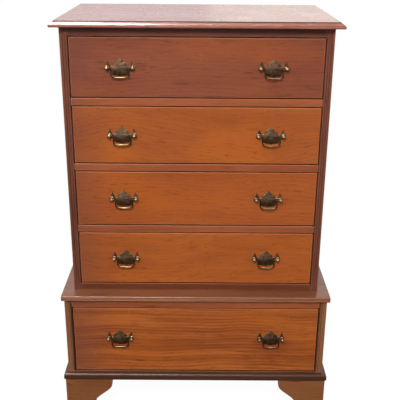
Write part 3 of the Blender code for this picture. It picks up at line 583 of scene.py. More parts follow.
def stations(start, end, radius, steps=EASE_STEPS, margin=MARGIN, between=1):
    """A path's places from start to end, how far the outline is drawn in there, and its value for worn
    edges and painted highlight.

    Each end is a quarter circle: at an angle a from the end face, the outline is drawn in by
    radius * (1 - sin a) and lies radius * (1 - cos a) from the end.
    """
    angle = np.linspace(0.0, pi / 2, steps + 1)
    place = radius * (1 - np.cos(angle))
    inset = radius * (1 - np.sin(angle))
    half = abs(end - start) / 2
    flat = min(radius + margin, half * 0.9)
    middle = np.linspace(flat, 2 * half - flat, between + 1)
    lead = np.concatenate(((0.0,), place))
    lead_in = np.concatenate(((radius + margin,), inset))
    along = np.concatenate((lead, middle, 2 * half - lead[::-1]))
    drawn = np.concatenate((lead_in, np.zeros(between + 1), lead_in[::-1]))
    ends = np.concatenate(((0.0,), np.ones(steps + 1)))
    worn = np.concatenate((ends, np.zeros(between + 1), ends[::-1]))
    return start + np.sign(end - start) * along, drawn, worn


# %% Grids and pieces


def lift(flat, place, axis):
    """Outline points at a place along axis. Their two numbers are the other axes, in XYZ order."""
    grid = np.insert(flat, axis, 0.0, axis=-1)
    grid[..., axis] = place
    return grid


def eased_rings(corners, radius, insets, margin=MARGIN):
    """A sharp outline drawn in by each inset, and eased there with what is left of the radius."""
    sharp = counter_clockwise(corners)
    rings = [ease(drawn_in(sharp, inset), max(radius - inset, LEAST_RADIUS), margin) for inset in insets]
    return [outline for outline, _ in rings], rings[0][1]


def carried(corners, radius, axis, path, margin=MARGIN):
    """A sharp outline carried along an axis, with its corners eased: points, and their values for worn
    edges and painted light.
    """
    place, inset, path_wear_and_highlight = path
    outlines, wear = eased_rings(corners, radius, inset, margin)
    rings = [lift(outline, s, axis) for s, outline in zip(place, outlines)]
    return np.stack(rings), np.maximum(path_wear_and_highlight[:, None], wear[None, :])


def board(low, high, radius=0.0012, axis=0, between=1):
    """A plain board between two corners, with every arris eased, carried along an axis."""
    low, high = np.array(low, float), np.array(high, float)
    one, two = [i for i in range(3) if i != axis]
    corners = [(low[one], low[two]), (high[one], low[two]), (high[one], high[two]), (low[one], high[two])]
    margin = min(MARGIN, 0.4 * (high - low).min() - radius)
    path = stations(low[axis], high[axis], radius, margin=margin, between=between)
    return carried(corners, radius, axis, path, margin)


GAP_SHADE_START = 0.0016
GAP_SHADE_REACH = 0.0012


def with_gap_shade(shell, front, gap_shade=1.1):
    """A shell whose rubbed value turns to painted shade behind its front face, in the dark of a drawer's
    gap.
    """
    grid, wear = shell
    # Faces behind the front, in a drawer's gap, are painted dark: painted shade.
    behind = np.clip((grid[..., 1] - front - GAP_SHADE_START) / GAP_SHADE_REACH, 0, 1)
    return grid, wear * (1 - behind) - gap_shade * behind


def closed_shell(grid, wear):
    """A tube of rings with a face over each end, all facing outwards.

    The sign of its volume, summed as tetrahedra from the origin, tells whether to turn the faces.
    """
    rows, columns = grid.shape[:2]
    index = np.arange(rows * columns).reshape(rows, columns)
    beside = np.roll(index, -1, 1)
    quads = np.stack((index[:-1], beside[:-1], beside[1:], index[1:]), -1).reshape(-1, 4)
    points = grid.reshape(-1, 3)
    centred = points - points.mean(0)
    a, b, c, d = (centred[quads[:, i]] for i in range(4))
    volume = (a * np.cross(b, c)).sum() + (a * np.cross(c, d)).sum()
    ends = [index[0][::-1], index[-1]]
    for end in ends:
        fan = centred[end]
        volume += (fan[0] * np.cross(fan[1:-1], fan[2:])).sum()
    if volume < 0:
        quads = quads[:, ::-1]
        ends = [end[::-1] for end in ends]
    return points, quads.tolist() + [end.tolist() for end in ends], wear.reshape(-1)


def make_piece(name, body, stands_for, material, shells, sharp=35.0):
    """One object from several closed shells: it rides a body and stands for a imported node."""
    points, faces, wear = [], [], []
    start = 0
    for grid, grid_wear_and_light in shells:
        shell_points, shell_faces, shell_wear_and_light = closed_shell(grid, grid_wear_and_light)
        points.append(shell_points)
        faces.extend([[i + start for i in face] for face in shell_faces])
        wear.append(shell_wear_and_light)
        start += len(shell_points)
    mesh = bpy.data.meshes.new(name)
    mesh.from_pydata(np.concatenate(points).tolist(), [], faces)
    mesh.attributes.new("wear", "FLOAT", "POINT").data.foreach_set("value", np.concatenate(wear))
    mesh.shade_smooth()
    mesh.set_sharp_from_angle(angle=radians(sharp))
    mesh.materials.append(material)
    piece = bpy.data.objects.new(name, mesh)
    bpy.context.scene.collection.objects.link(piece)
    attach(piece, body)
    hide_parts(*stands_for)


print("a board's grid is", board((0, 0, 0), (0.4, 0.02, 0.18))[0].shape[:2], "points")

# %% [markdown]
# ## The woods of this chest
#
# The drawer fronts are the best boards: orange-brown, with a soft figure. The top drawer's board is
# darker and rosier, a painted reflection, and the deep bottom drawer's is striped, as a quarter-sawn
# board is. The case is stained a tone darker. Inside, the drawer boxes and runners are plain pale wood,
# and the panels are thin ply.

# %% Wood colours
CASE_TONES = (tint(131, 78, 60), tint(99, 55, 41), tint(50, 24, 18))
STILE_TONES = (tint(158, 104, 70), tint(128, 80, 52), tint(66, 37, 24))
TOP_TONES = (tint(174, 108, 90), tint(140, 80, 66), tint(76, 40, 34))
EDGE_TONES = (tint(144, 86, 52), tint(112, 64, 38), tint(60, 30, 18))
# The top rail is dark and purplish: the case's stain, and painted shade of the top's overhang.
TOP_RAIL_PAINTED_SHADE_TONES = (tint(118, 68, 56), tint(92, 50, 42), tint(50, 26, 22))
LOW_RAIL_TONES = (tint(118, 62, 36), tint(94, 48, 28), tint(50, 24, 14))
# The sill under the bottom drawer is dark: painted shade of the drawer above, and a painted dark
# reflection.
SILL_PAINTED_SHADE_TONES = (tint(98, 66, 50), tint(74, 46, 34), tint(40, 22, 16))
BASE_TONES = (tint(92, 58, 42), tint(70, 43, 30), tint(38, 21, 14))
FOOT_TONES = (tint(154, 96, 58), tint(128, 76, 42), tint(70, 38, 22))
RAIL_TONES = (tint(176, 98, 62), tint(142, 74, 44), tint(74, 34, 22))
FRONT_TONES = {
    # The top drawer's tones are darker and rosier: a painted reflection.
    1: (tint(152, 84, 58), tint(122, 64, 45), tint(66, 34, 28)),
    2: (tint(182, 98, 46), tint(150, 76, 36), tint(84, 40, 22)),
    3: (tint(188, 100, 46), tint(156, 78, 36), tint(84, 38, 20)),
    4: (tint(195, 106, 46), tint(162, 83, 36), tint(86, 41, 20)),
    5: (tint(192, 106, 48), tint(142, 70, 32), tint(84, 40, 20)),
}
GLOWS = {1: tint(168, 88, 46), 2: tint(196, 104, 36), 3: tint(190, 98, 32), 4: tint(196, 106, 34),
         5: tint(186, 98, 34)}
SWAYS = {1: 0.05, 2: 0.11, 3: 0.07, 4: 0.09, 5: 0.05}
PALE_INNER = (tint(214, 180, 132), tint(184, 144, 96))
PALE_PLY = (tint(176, 138, 94), tint(142, 104, 68))

front_wood = {}
for number, tones in FRONT_TONES.items():
    striped = number == 5
    front_wood[number] = lacquered_wood(
        "drawer_%d_board" % number, "X", 3.1 * number, *tones,
        pith=(0.0, 0.30 - 0.02 * number, -0.16 * number), bands=0.80 if striped else 0.40,
        band_width=50.0 if striped else 26.0, rings=0.10 if striped else 0.07,
        contrast=0.18 if striped else 0.26, sway=SWAYS[number], glow=GLOWS[number], left_end_shade=0.55,
        knots=0.26, dashes=0.60)
top_wood = lacquered_wood("top_board_wood", "X", 4.3, *TOP_TONES, pith=(0.0, 0.1, -1.1), shine=0.5,
                          dashes=0.7, gloss=0.26)
waist_wood = lacquered_wood("waist_board_wood", "X", 9.7, *EDGE_TONES, pith=(0.0, 0.1, -1.2), shine=0.45)
top_rail_wood = lacquered_wood("top_rail_wood", "X", 5.7, *TOP_RAIL_PAINTED_SHADE_TONES, pith=(0.0, 0.1, -1.2))
low_rail_wood = lacquered_wood("low_rail_wood", "X", 6.3, *LOW_RAIL_TONES, pith=(0.0, 0.1, -1.2))
sill_wood = lacquered_wood("sill_wood", "X", 7.3, *SILL_PAINTED_SHADE_TONES, pith=(0.0, 0.1, -1.2))
case_upright = lacquered_wood("case_wood_upright", "Z", 5.3, *CASE_TONES, pith=(0.45, 0.0, 0.0))
stile_upright = lacquered_wood("lower_case_upright", "Z", 3.3, *STILE_TONES, pith=(0.45, 0.0, 0.0))
foot_across = lacquered_wood("foot_wood_across", "X", 8.3, *FOOT_TONES, pith=(0.0, 0.1, -0.4))
foot_deep = lacquered_wood("foot_wood_front_to_back", "Y", 8.9, *FOOT_TONES, pith=(0.5, 0.0, -0.1))
base_across = lacquered_wood("base_wood_across", "X", 2.9, *BASE_TONES)
base_deep = lacquered_wood("base_wood_front_to_back", "Y", 6.7, *BASE_TONES)
rail_wood = lacquered_wood("rail_wood", "X", 7.7, *RAIL_TONES, pith=(0.0, 0.4, -0.9), left_end_shade=0.4)
box_side_wood = raw_wood("drawer_side_wood", "Y", 2.3, *PALE_INNER)
box_back_wood = raw_wood("drawer_back_wood", "X", 6.1, *PALE_INNER)
pin_wood = raw_wood("drawer_pin_end_grain", "X", 4.7, tint(150, 84, 50), tint(112, 58, 34))
runner_wood = raw_wood("runner_wood", "Y", 9.3, *PALE_INNER)
inner_rail_wood = raw_wood("inner_rail_wood", "X", 3.7, *PALE_INNER)
ply_wood = raw_wood("thin_ply", "X", 5.9, *PALE_PLY, rough=0.7, layers=2)
back_ply = raw_wood("back_ply", "Z", 8.1, *PALE_PLY, rough=0.75)
print(len(bpy.data.materials), "materials so far")

# %% [markdown]
# ## Moulded boards: the top and the waist
#
# The top board and the waist board are planed to a profile along their front and ends, and left square
# at the rear, where the chest meets the wall. One surface does both: its rows climb the profile, and
# its columns go round the board, in by the profile's inset. The corners are turned with a small radius,
# as sandpaper leaves them.

# %% Ring round a board


def round_the_board(inset, height, half_width, front, rear, corner, along=24, steps=5):
    """A ring at one height: down the left end, round a corner, along the front, and back.

    Its half width is half_width - inset and its front lies at front + inset. Each corner is a quarter
    circle whose radius shrinks by the inset.
    """
    x, y = half_width - inset, front + inset
    radius = max(corner - inset, 0.0006)
    angle = np.linspace(0.0, pi / 2, steps + 1)
    turn_x, turn_y = radius * (1 - np.cos(angle)), radius * (1 - np.sin(angle))
    left = np.stack((np.full(along, -x), np.linspace(rear, y + radius, along + 1)[:-1]), 1)
    corner_left = np.stack((-x + turn_x, y + turn_y), 1)
    front_run = np.linspace(-x + radius, x - radius, 2 * along + 1)[1:-1]
    front_line = np.stack((front_run, np.full(len(front_run), y)), 1)
    corner_right = np.stack((x - turn_x[::-1], y + turn_y[::-1]), 1)
    right = np.stack((np.full(along, x), np.linspace(y + radius, rear, along + 1)[1:]), 1)
    flat = np.concatenate((left, corner_left, front_line, corner_right, right))
    return lift(flat, height, 2)


def moulded_board(node, profile, corner=0.003):
    """A board's grid from its profile of (inset, height above its underside, wear)."""
    low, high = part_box(node)
    rings = [round_the_board(inset, low.z + rise, high.x, low.y, high.y, corner)
             for inset, rise, _ in profile]
    wear = np.repeat(np.array([w for _, _, w in profile])[:, None], len(rings[0]), 1)
    return np.stack(rings), wear


def quarter(start, end, steps, first_along):
    """Points of a quarter ellipse between two (inset, height) points.

    With first_along the curve leaves start along the inset's direction, else along the height's.
    """
    angle = np.linspace(0.0, pi / 2, steps + 1)
    fast, slow = np.sin(angle), 1 - np.cos(angle)
    inset, rise = (fast, slow) if first_along else (slow, fast)
    return [(start[0] + (end[0] - start[0]) * i, start[1] + (end[1] - start[1]) * r)
            for i, r in zip(inset, rise)]


# %% Top board
BAND_HEIGHT = 0.0085
LOWER_ROUND = 0.0034
QUIRK = 0.0016
THUMB_REACH = 0.0125
FIELD_STEP = 0.0028
SLOPE_BELLY = 0.0007
low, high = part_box("top_board")
thickness = high.z - low.z
thumb_top = thickness - FIELD_STEP
top_profile = [(0.03, 0.0, 0.0), (0.0062, 0.0, 0.0)]
top_profile += [(i, r, 0.5) for i, r in quarter((LOWER_ROUND, 0.0), (0.0, LOWER_ROUND), 5, True)]
# The arris and the slope are painted lighter: worn edges, and a painted highlight.
top_profile += [(0.0, BAND_HEIGHT - QUIRK - 0.0008, 0.3), (0.0004, BAND_HEIGHT - QUIRK, 0.9)]
# The quirk and, below, the step up to the field are painted dark: grime, and painted shade in these
# recesses.
top_profile += [(QUIRK, BAND_HEIGHT - QUIRK + 0.0002, -1.0), (QUIRK, BAND_HEIGHT - 0.0006, -0.6)]
slope = [(QUIRK, BAND_HEIGHT), (THUMB_REACH - 0.0012, thumb_top - 0.0003)]
share = np.linspace(0.0, 1.0, 9)
belly = 4 * SLOPE_BELLY * share * (1 - share)
top_profile += list(zip(slope[0][0] + (slope[1][0] - slope[0][0]) * share - 0.6 * belly,
                        slope[0][1] + (slope[1][1] - slope[0][1]) * share + 0.8 * belly, 0 * share + 0.45))
top_profile += [(THUMB_REACH + 0.0006, thumb_top, -1.0), (THUMB_REACH + 0.0008, thickness - 0.0005, -1.0)]
top_profile += [(THUMB_REACH + 0.0014, thickness, 0.3), (THUMB_REACH + 0.0040, thickness, 0.0)]
make_piece("top_board_moulded", "case", ["top_board"], top_wood,
           [moulded_board("top_board", top_profile)], 40.0)
print("top board", [round(1000 * v) for v in high - low], "mm,", len(top_profile), "rows of moulding")

# %% [markdown]
# The waist board covers the wider lower case. Its edge is reeded: three small beads side by side, cut
# with a scratch stock. Across each bead the inset follows a circle's edge, and it is deepest in the
# quirk between two beads, which is painted dark: old wax and dirt, and painted shade. The crowns of
# the beads are painted lighter: worn, and a painted highlight.

# %% Waist board
REEDS = 3
REED_DEPTH = 0.0021
low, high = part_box("waist_board")
thickness = high.z - low.z
across = np.linspace(-0.97, 0.97, 9)
reed_inset = REED_DEPTH * (1 - np.sqrt(1 - across ** 2))
waist_profile = [(0.03, 0.0, 0.0), (0.006, 0.0, 0.0)]
for reed in range(REEDS):
    middle = thickness * (reed + 0.5) / REEDS
    rise = middle + across * thickness / REEDS / 2
    # Quirks painted dark as grime and painted shade; crowns painted lighter as worn edges and a painted
    # highlight.
    reed_wear_and_light = np.where(np.abs(across) > 0.8, -0.45, 0.85)
    waist_profile += list(zip(reed_inset, rise, reed_wear_and_light))
waist_profile[-1] = (REED_DEPTH, thickness, 0.6)
waist_profile += [(REED_DEPTH + 0.0025, thickness, 0.0), (REED_DEPTH + 0.03, thickness, 0.0)]
make_piece("waist_board_reeded", "case", ["waist_board"], waist_wood,
           [moulded_board("waist_board", waist_profile)], 40.0)
print("waist board", [round(1000 * v) for v in high - low], "mm with", REEDS, "reeds")

# %% [markdown]
# ## Case sides with fluted fronts
#
# The front edge of each case side is a stile with a pair of beads run down it. The beads start a little
# below the top and stop above the waist, so their depth is multiplied by a smooth step at each end.
# The rest of the outline is the plain board, with a rabbet at the rear for the back panel.

# %% Side boards
RABBET_WIDTH = 0.011
RABBET_DEPTH = 0.007
FLUTE_DEPTH = 0.0021
FLUTE_STOP = 0.012
SIDE_EASE = 0.0014
SIDE_END_EASE = 0.0008


def bead_recess(x, edges):
    """How far a beaded face lies back at x: between two edges a circle's arc, deepest at the edges."""
    recess = np.zeros_like(x)
    for near, far in zip(edges, edges[1:]):
        u = np.clip(2 * (x - near) / (far - near) - 1, -1, 1)
        inside = (x >= near) & (x <= far)
        recess = np.where(inside, FLUTE_DEPTH * (1 - np.sqrt(1 - (0.985 * u) ** 2)), recess)
    return recess


def beaded_side(node, hand, edges, stop, painted_shade_from):
    """A case side's grid: its outline seen from above, carried up, with beads in its front edge.

    edges are distances in from the outer face. The last one is the inner face. Past the last
    argument's distance in, beside the drawers, the bead is painted black: painted shade of the gap there.
    """
    low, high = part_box(node)
    width = high.x - low.x
    fine = [np.linspace(a, b, 13) for a, b in zip(edges, edges[1:])]
    front_x = np.unique(np.concatenate([[MARGIN + SIDE_EASE, edges[0] - 0.0012], *fine]))
    recess = bead_recess(front_x, edges)
    arc = np.linspace(0.0, pi / 2, EASE_STEPS + 2)
    ease_x, ease_y = SIDE_EASE * (1 - np.cos(arc)), SIDE_EASE * (1 - np.sin(arc))
    depth = high.y - low.y
    outer = [(0.0, depth), (0.0, SIDE_EASE + MARGIN)]
    inner = [(width, depth - RABBET_DEPTH), (width - RABBET_WIDTH, depth - RABBET_DEPTH),
             (width - RABBET_WIDTH, depth)]
    flat = np.concatenate((outer, np.stack((ease_x, ease_y), 1), np.stack((front_x, 0 * front_x), 1),
                           [(width, MARGIN + FLUTE_DEPTH)], inner))
    groove = np.zeros(len(flat))
    wear = np.zeros(len(flat))
    first = len(outer) + len(arc)
    face = slice(first, first + len(front_x))
    wear[len(outer):first] = 1.0
    groove[face] = recess
    # Deep in a bead's quirk the colour is darkened: grime, and painted shade.
    wear[face] = np.where(recess > 0.55 * FLUTE_DEPTH, -1.0, 0.25 * (recess > 0))
    # Beside the drawers the bead is painted black: painted shade where the gap lies in shadow.
    wear[face] = np.where(front_x > painted_shade_from, -1.0, wear[face])
    place, inset, end_wear_and_highlight = stations(low.z, high.z, SIDE_END_EASE, between=2)
    extra = np.linspace(0.0, stop, 6)[1:]
    bead_low, bead_high = low.z + 0.002, high.z - 0.004
    level = np.sort(np.concatenate((place, bead_high - extra, bead_low + extra)))
    inset = np.interp(level, place, inset)
    end_wear_and_highlight = np.interp(level, place, end_wear_and_highlight) * 0.5
    share = np.clip((bead_high - level) / stop, 0, 1) * np.clip((level - bead_low) / stop, 0, 1)
    share = share ** 2 * (3 - 2 * share)
    rows = []
    outer_x = high.x if hand > 0 else low.x
    for z, d, s in zip(level, inset, share):
        ring = flat + np.stack((0 * groove, groove * s), 1)
        ring = np.stack((outer_x - hand * ring[:, 0], low.y + ring[:, 1]), 1)
        ring = ring[::-1] if hand > 0 else ring
        rows.append(lift(drawn_in(ring, min(d, SIDE_END_EASE)), z, 2))
    wear_and_light_rows = np.where(wear < 0, wear * share[:, None], wear)[:, ::-1 if hand > 0 else 1]
    return np.stack(rows), np.where(wear_and_light_rows < 0, wear_and_light_rows, np.maximum(wear_and_light_rows, end_wear_and_highlight[:, None]))


UPPER_BEADS = (0.0095, 0.0165, 0.0235)
LOWER_BEADS = (0.0150, 0.0190, 0.0235)
for side, hand in (("left", -1), ("right", 1)):
    for case, beads, stop, finish, painted_shade_from in (
            ("upper", UPPER_BEADS, FLUTE_STOP, case_upright, 0.0226),
            ("lower", LOWER_BEADS, 0.001, stile_upright, 0.0190 if hand < 0 else 0.0212)):
        node = "%s_side_%s" % (case, side)
        make_piece(node + "_board", "case", [node], finish,
                   [beaded_side(node, hand, beads, stop, painted_shade_from)], 40.0)
        low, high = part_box(node)
        print(node, [round(1000 * v, 1) for v in high - low], "mm")

# %% [markdown]
# ## Rails, dust frames and backs
#
# Between two drawers lies a dust frame: a show-wood rail in front, two pale runners that the drawer
# slides on, a rail at the rear, and a thin panel that keeps dust and mice out. They are separate
# boards on the real chest, with their grain in different directions, so they are separate here.

# %% Frames between the drawers
MEMBER = 0.055
PANEL = 0.006
RAIL_EASE = 0.0012
RUNNER_EASE = 0.0008
BUTT = 0.0002
inner_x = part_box("upper_side_right")[0].x
fronts_gap = 0.0003


def dust_frame(node, half, front, rear, low_z, high_z, rail_finish):
    """The boards of one dust frame: a rail, two runners, a rear rail and a panel, end to end."""
    near, far = front + MEMBER + BUTT, rear - MEMBER - BUTT
    rail = board((-half, front, low_z), (half, front + MEMBER, high_z), RAIL_EASE, 0, 12)
    make_piece(node + "_rail", "case", [node], rail_finish, [with_gap_shade(rail, front)])
    runners = [board((x, near, low_z), (x + MEMBER, far, high_z), RUNNER_EASE, 1, 6)
               for x in (-half, half - MEMBER)]
    make_piece(node + "_runners", "case", [node], runner_wood, runners)
    back = board((-half, rear - MEMBER, low_z), (half, rear, high_z), RUNNER_EASE)
    make_piece(node + "_rear_rail", "case", [node], inner_rail_wood, [back])
    middle = (low_z + high_z) / 2
    edge = half - MEMBER - BUTT
    panel = board((-edge, near, middle - PANEL / 2), (edge, far, middle + PANEL / 2), 0.0006)
    make_piece(node + "_panel", "case", [node], ply_wood, [panel])


for node in ("divider_1", "divider_2", "divider_3", "upper_bottom_frame"):
    low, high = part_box(node)
    finish = low_rail_wood if node == "upper_bottom_frame" else rail_wood
    dust_frame(node, inner_x - fronts_gap, low.y, high.y, low.z, high.z, finish)
print("four dust frames between sides", round(2000 * inner_x, 1), "mm apart")

# %% Rails and the bottom frame
for node, finish in (("upper_top_rail", top_rail_wood), ("lower_top_rail", rail_wood),
                     ("upper_rear_rail", inner_rail_wood)):
    low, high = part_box(node)
    make_piece(node + "_board", "case", [node], finish, [board(low, high, RAIL_EASE, 0, 12)])
low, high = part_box("lower_bottom_frame")
sill_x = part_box("lower_side_right")[0].x - fronts_gap
base_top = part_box("base_moulding_front")[1].z
base_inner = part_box("base_moulding_front")[1].y
sill_bottom = base_top + fronts_gap
sill = board((-sill_x, low.y, sill_bottom), (sill_x, base_inner + MEMBER, high.z), RUNNER_EASE, 0, 12)
make_piece("sill_board", "case", ["lower_bottom_frame"], sill_wood, [sill])
dust_frame("lower_bottom_frame", min(high.x, sill_x), base_inner + fronts_gap, high.y, low.z, base_top,
           inner_rail_wood)
runner_front = base_inner + MEMBER + fronts_gap
lower_runners = [board((x, runner_front, sill_bottom), (x + MEMBER, high.y, high.z), RUNNER_EASE, 1, 4)
                 for x in (-sill_x, sill_x - MEMBER)]
make_piece("sill_runners", "case", ["lower_bottom_frame"], runner_wood, lower_runners)
print("sill", round(2000 * sill_x), "mm wide")

# %% Back panels
for node in ("upper_back_panel", "lower_back_panel"):
    low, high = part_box(node)
    make_piece(node + "_ply", "case", [node], back_ply, [board(low, high, 0.0005, 0, 2)])
    print(node, [round(1000 * v, 1) for v in high - low], "mm")

# %% [markdown]
# ## Base moulding and bracket feet
#
# The base is three lengths of moulding, mitred at the front corners. Each length is its profile moved
# along a straight line, and at a mitre every point of the profile stops at its own inset. A bracket
# foot is a thick board, sawn to an ogee on its inner edge: half a cosine wave between two straights.

# %% Base moulding
BASE_ROUND = 0.0065
BASE_FOOT_STEP = 0.003
MITRE_GAP = 0.0001


def base_outline(width, height):
    """The moulding's closed outline of (inset, height), with its wear, from its bottom edge up."""
    face = [(BASE_FOOT_STEP, 0.0, 0.3), (BASE_FOOT_STEP, 0.0022, 0.0), (0.0011, 0.0034, 0.2)]
    face += [(0.0, 0.0050, 0.5), (0.0, 0.0075, 0.2), (0.0, height - BASE_ROUND - 0.002, 0.0)]
    face += [(i, r, 0.35) for i, r in
             quarter((0.0, height - BASE_ROUND), (BASE_ROUND, height), 6, False)]
    face += [(BASE_ROUND + MARGIN, height, 0.0), (width, height, 0.0), (width, 0.0, 0.0)]
    return np.array(face)


low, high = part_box("base_moulding_front")
profile = base_outline(high.y - low.y, high.z - low.z)
share = np.linspace(-1.0, 1.0, 33)[:, None]
run_x = share * (high.x - profile[:, 0] - MITRE_GAP)
run_y = np.broadcast_to(low.y + profile[:, 0], run_x.shape)
run_z = np.broadcast_to(low.z + profile[:, 1], run_x.shape)
make_piece("base_moulding_front_run", "case", ["base_moulding_front"], base_across,
           [(np.stack((run_x, run_y, run_z), 2), np.broadcast_to(profile[:, 2], run_x.shape))], 40.0)
for side, hand in (("left", -1), ("right", 1)):
    node = "base_moulding_" + side
    near = low.y + profile[:, 0] + 2 * MITRE_GAP
    run_y = near + (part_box(node)[1].y - near) * np.linspace(0.0, 1.0, 21)[:, None]
    run_x = np.broadcast_to(hand * (high.x - profile[:, 0]), run_y.shape)
    run_z = np.broadcast_to(low.z + profile[:, 1], run_y.shape)
    make_piece(node + "_run", "case", [node], base_deep,
               [(np.stack((run_x, run_y, run_z), 2), np.broadcast_to(profile[:, 2], run_y.shape))], 40.0)
print("base moulding", round(2000 * high.x, 1), "mm wide")

# %% Bracket feet
FOOT_LIP = 0.020
FOOT_CURVE_DROP = 0.070
FOOT_FLOOR_LENGTH = 0.098
FOOT_EASE = 0.0016


def bracket_outline(length, height):
    """A bracket seen square on, as (distance from its corner, height), counter-clockwise.

    Its inner edge falls from the lip as half a cosine wave, from the full length to the floor length.
    """
    down = np.linspace(0.0, 1.0, 25)
    spread = length - FOOT_FLOOR_LENGTH
    curve_x = length - spread * (1 - np.cos(pi * down)) / 2
    curve_z = height - FOOT_LIP - FOOT_CURVE_DROP * down
    curve = np.stack((curve_x, curve_z), 1)
    return np.concatenate(([(0.0, 0.0), (FOOT_FLOOR_LENGTH, 0.0)], curve[::-1],
                           [(length, height), (0.0, height)]))


def bracket(length, height, thickness, mitred):
    """A bracket's grid in (distance, depth, height): its outline carried from its outer face in.

    Where the feet are mitred, the outline's corner edge moves along by the depth.
    """
    depth, inset, end_wear_and_highlight = stations(0.0, thickness, FOOT_EASE, between=1)
    outlines, wear = eased_rings(bracket_outline(length, height), FOOT_EASE, inset)
    at_corner = outlines[2][:, 0] < FOOT_EASE + 2 * MARGIN
    rows = []
    for d, ring in zip(depth, outlines):
        if mitred:
            ring[:, 0] = np.where(at_corner, d + MITRE_GAP, ring[:, 0])
        rows.append(np.stack((ring[:, 0], np.full(len(ring), d), ring[:, 1]), 1))
    return np.stack(rows), np.maximum(end_wear_and_highlight[:, None], wear[None, :] * 0.6)


for side, hand in (("left", -1), ("right", 1)):
    low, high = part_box("foot_front_%s" % side)
    corner_x = high.x if hand > 0 else low.x
    size = high - low
    grid, wear = bracket(size.x, size.z, size.y, True)
    across = np.stack((corner_x - hand * grid[..., 0], low.y + grid[..., 1], low.z + grid[..., 2]), -1)
    make_piece("foot_front_%s_bracket" % side, "case", ["foot_front_%s" % side], foot_across,
               [(across, wear)], 40.0)
    along = np.stack((corner_x - hand * grid[..., 1], low.y + grid[..., 0] + MITRE_GAP,
                      low.z + grid[..., 2]), -1)
    make_piece("foot_front_%s_side_bracket" % side, "case", ["foot_front_%s_side" % side],
               foot_deep, [(along, wear)], 40.0)
    node = "foot_rear_%s" % side
    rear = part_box(node)[1]
    grid, wear = bracket(size.x, size.z, size.y, False)
    along = np.stack((corner_x - hand * grid[..., 1], rear.y - grid[..., 0], low.z + grid[..., 2]), -1)
    inner = corner_x - hand * (size.y + fronts_gap)
    end = corner_x - hand * FOOT_FLOOR_LENGTH
    plain = board((min(inner, end), rear.y - size.y, low.z), (max(inner, end), rear.y, rear.z))
    make_piece(node + "_bracket", "case", [node], foot_deep, [(along, wear), plain], 40.0)
print("feet", round(1000 * size.z, 1), "mm high")

# %% [markdown]
# ## Drawer fronts and dovetails
#
# A drawer front is rabbeted at both ends, and the sides are dovetailed into it from behind, so that the
# joint shows only when the drawer is open. The tails are cut on the pale sides: trapezoids that widen
# towards their tips. The red-brown wood between them is the front's pins. Pins and tails come from one
# formula, so each pin fills the space that its two tails leave.

# %% Drawer front boards
BOARD = 0.012
LAP = 0.008
TAIL_PITCH = 0.0215
TAIL_SHARE = 0.62
TAIL_SLOPE = 0.17
TAIL_GAP = 0.00012
PIN_EASE = 0.0002
PIN_GAP = 0.0002
FRONT_EASE = 0.0014


def tail_rows(bottom, top):
    """Heights of the middles of the tails, spread evenly between two heights, and their pitch."""
    count = int(round((top - bottom) / TAIL_PITCH))
    pitch = (top - bottom) / count
    return bottom + pitch * (np.arange(count) + 0.5), pitch


def tail_line(root, tip, bottom, top):
    """The zigzag of tails up a board's end, as (y, z): narrow at the root, wide at the tip."""
    middle, pitch = tail_rows(bottom, top)
    wide = pitch * TAIL_SHARE / 2
    narrow = wide - abs(tip - root) * TAIL_SLOPE
    y = np.tile((root, tip, tip, root), len(middle))
    z = (middle[:, None] + np.array((-narrow, -wide, wide, narrow))).reshape(-1)
    return np.stack((y, z), 1)


def pin_shells(root, tip, bottom, top, inner, outer, floor_z, roof_z):
    """Closed shells that fill the gaps between tails, from the inner to the outer face of a side.

    The lowest pin reaches down to floor_z and the highest up to roof_z.
    """
    middle, pitch = tail_rows(bottom, top)
    wide = pitch * TAIL_SHARE / 2 + TAIL_GAP
    narrow = wide - abs(tip - root) * TAIL_SLOPE
    below = np.concatenate(((floor_z - narrow,), middle))
    above = np.concatenate((middle, (roof_z + narrow,)))
    shells = []
    for number, (low_z, high_z) in enumerate(zip(below, above)):
        low_tip = floor_z if number == 0 else low_z + wide
        high_tip = roof_z if number == len(middle) else high_z - wide
        if high_tip - low_tip < 4 * PIN_EASE:
            continue
        corners = [(root, low_z + narrow), (root, high_z - narrow), (tip, high_tip), (tip, low_tip)]
        path = stations(inner, outer, PIN_EASE, margin=PIN_EASE / 2)
        pin, wear = carried(corners, PIN_EASE, 0, path, PIN_EASE / 2)
        shells.append((pin, wear * 0))
    return shells


def drawer_front(number):
    """The show board of a drawer, and the pins at its two ends."""
    name = "drawer_%d" % number
    low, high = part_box(name + "_front")
    box_low, box_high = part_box(name + "_box")
    half = high.x
    rabbet = low.y + LAP
    end = half - BOARD
    plan = [(-half, low.y), (half, low.y), (half, rabbet), (end, rabbet), (end, high.y),
            (-end, high.y), (-end, rabbet), (-half, rabbet)]
    panel = carried(plan, FRONT_EASE, 2, stations(low.z, high.z, FRONT_EASE, between=6))
    make_piece(name + "_front_board", name, [name + "_front"], front_wood[number],
               [with_gap_shade(panel, low.y, 0.8)])
    pins = []
    for hand in (-1, 1):
        inner, outer = hand * (end + 0.00015), hand * (half - PIN_GAP)
        pins += pin_shells(high.y, rabbet + PIN_GAP, box_low.z, box_high.z, min(inner, outer),
                           max(inner, outer), low.z + 0.0008, high.z - 0.0010)
    make_piece(name + "_front_pins", name, [name + "_front"], pin_wood, pins, 20.0)
    return len(pins)


for number in FRONT_TONES:
    print("drawer", number, "front with", drawer_front(number), "pins")

# %% [markdown]
# ## Drawer boxes
#
# The sides run the length of the box, with tails at both ends. The back stands on the bottom panel,
# a little lower than the sides, so that air can leave as the drawer slides in. The bottom is thin ply.
# Its grain runs across the drawer, and it bows down a hair in the middle under years of linen.

# %% Drawer boxes
SAG = 0.0006
BOX_GAP = 0.0002
BACK_DROP = 0.006


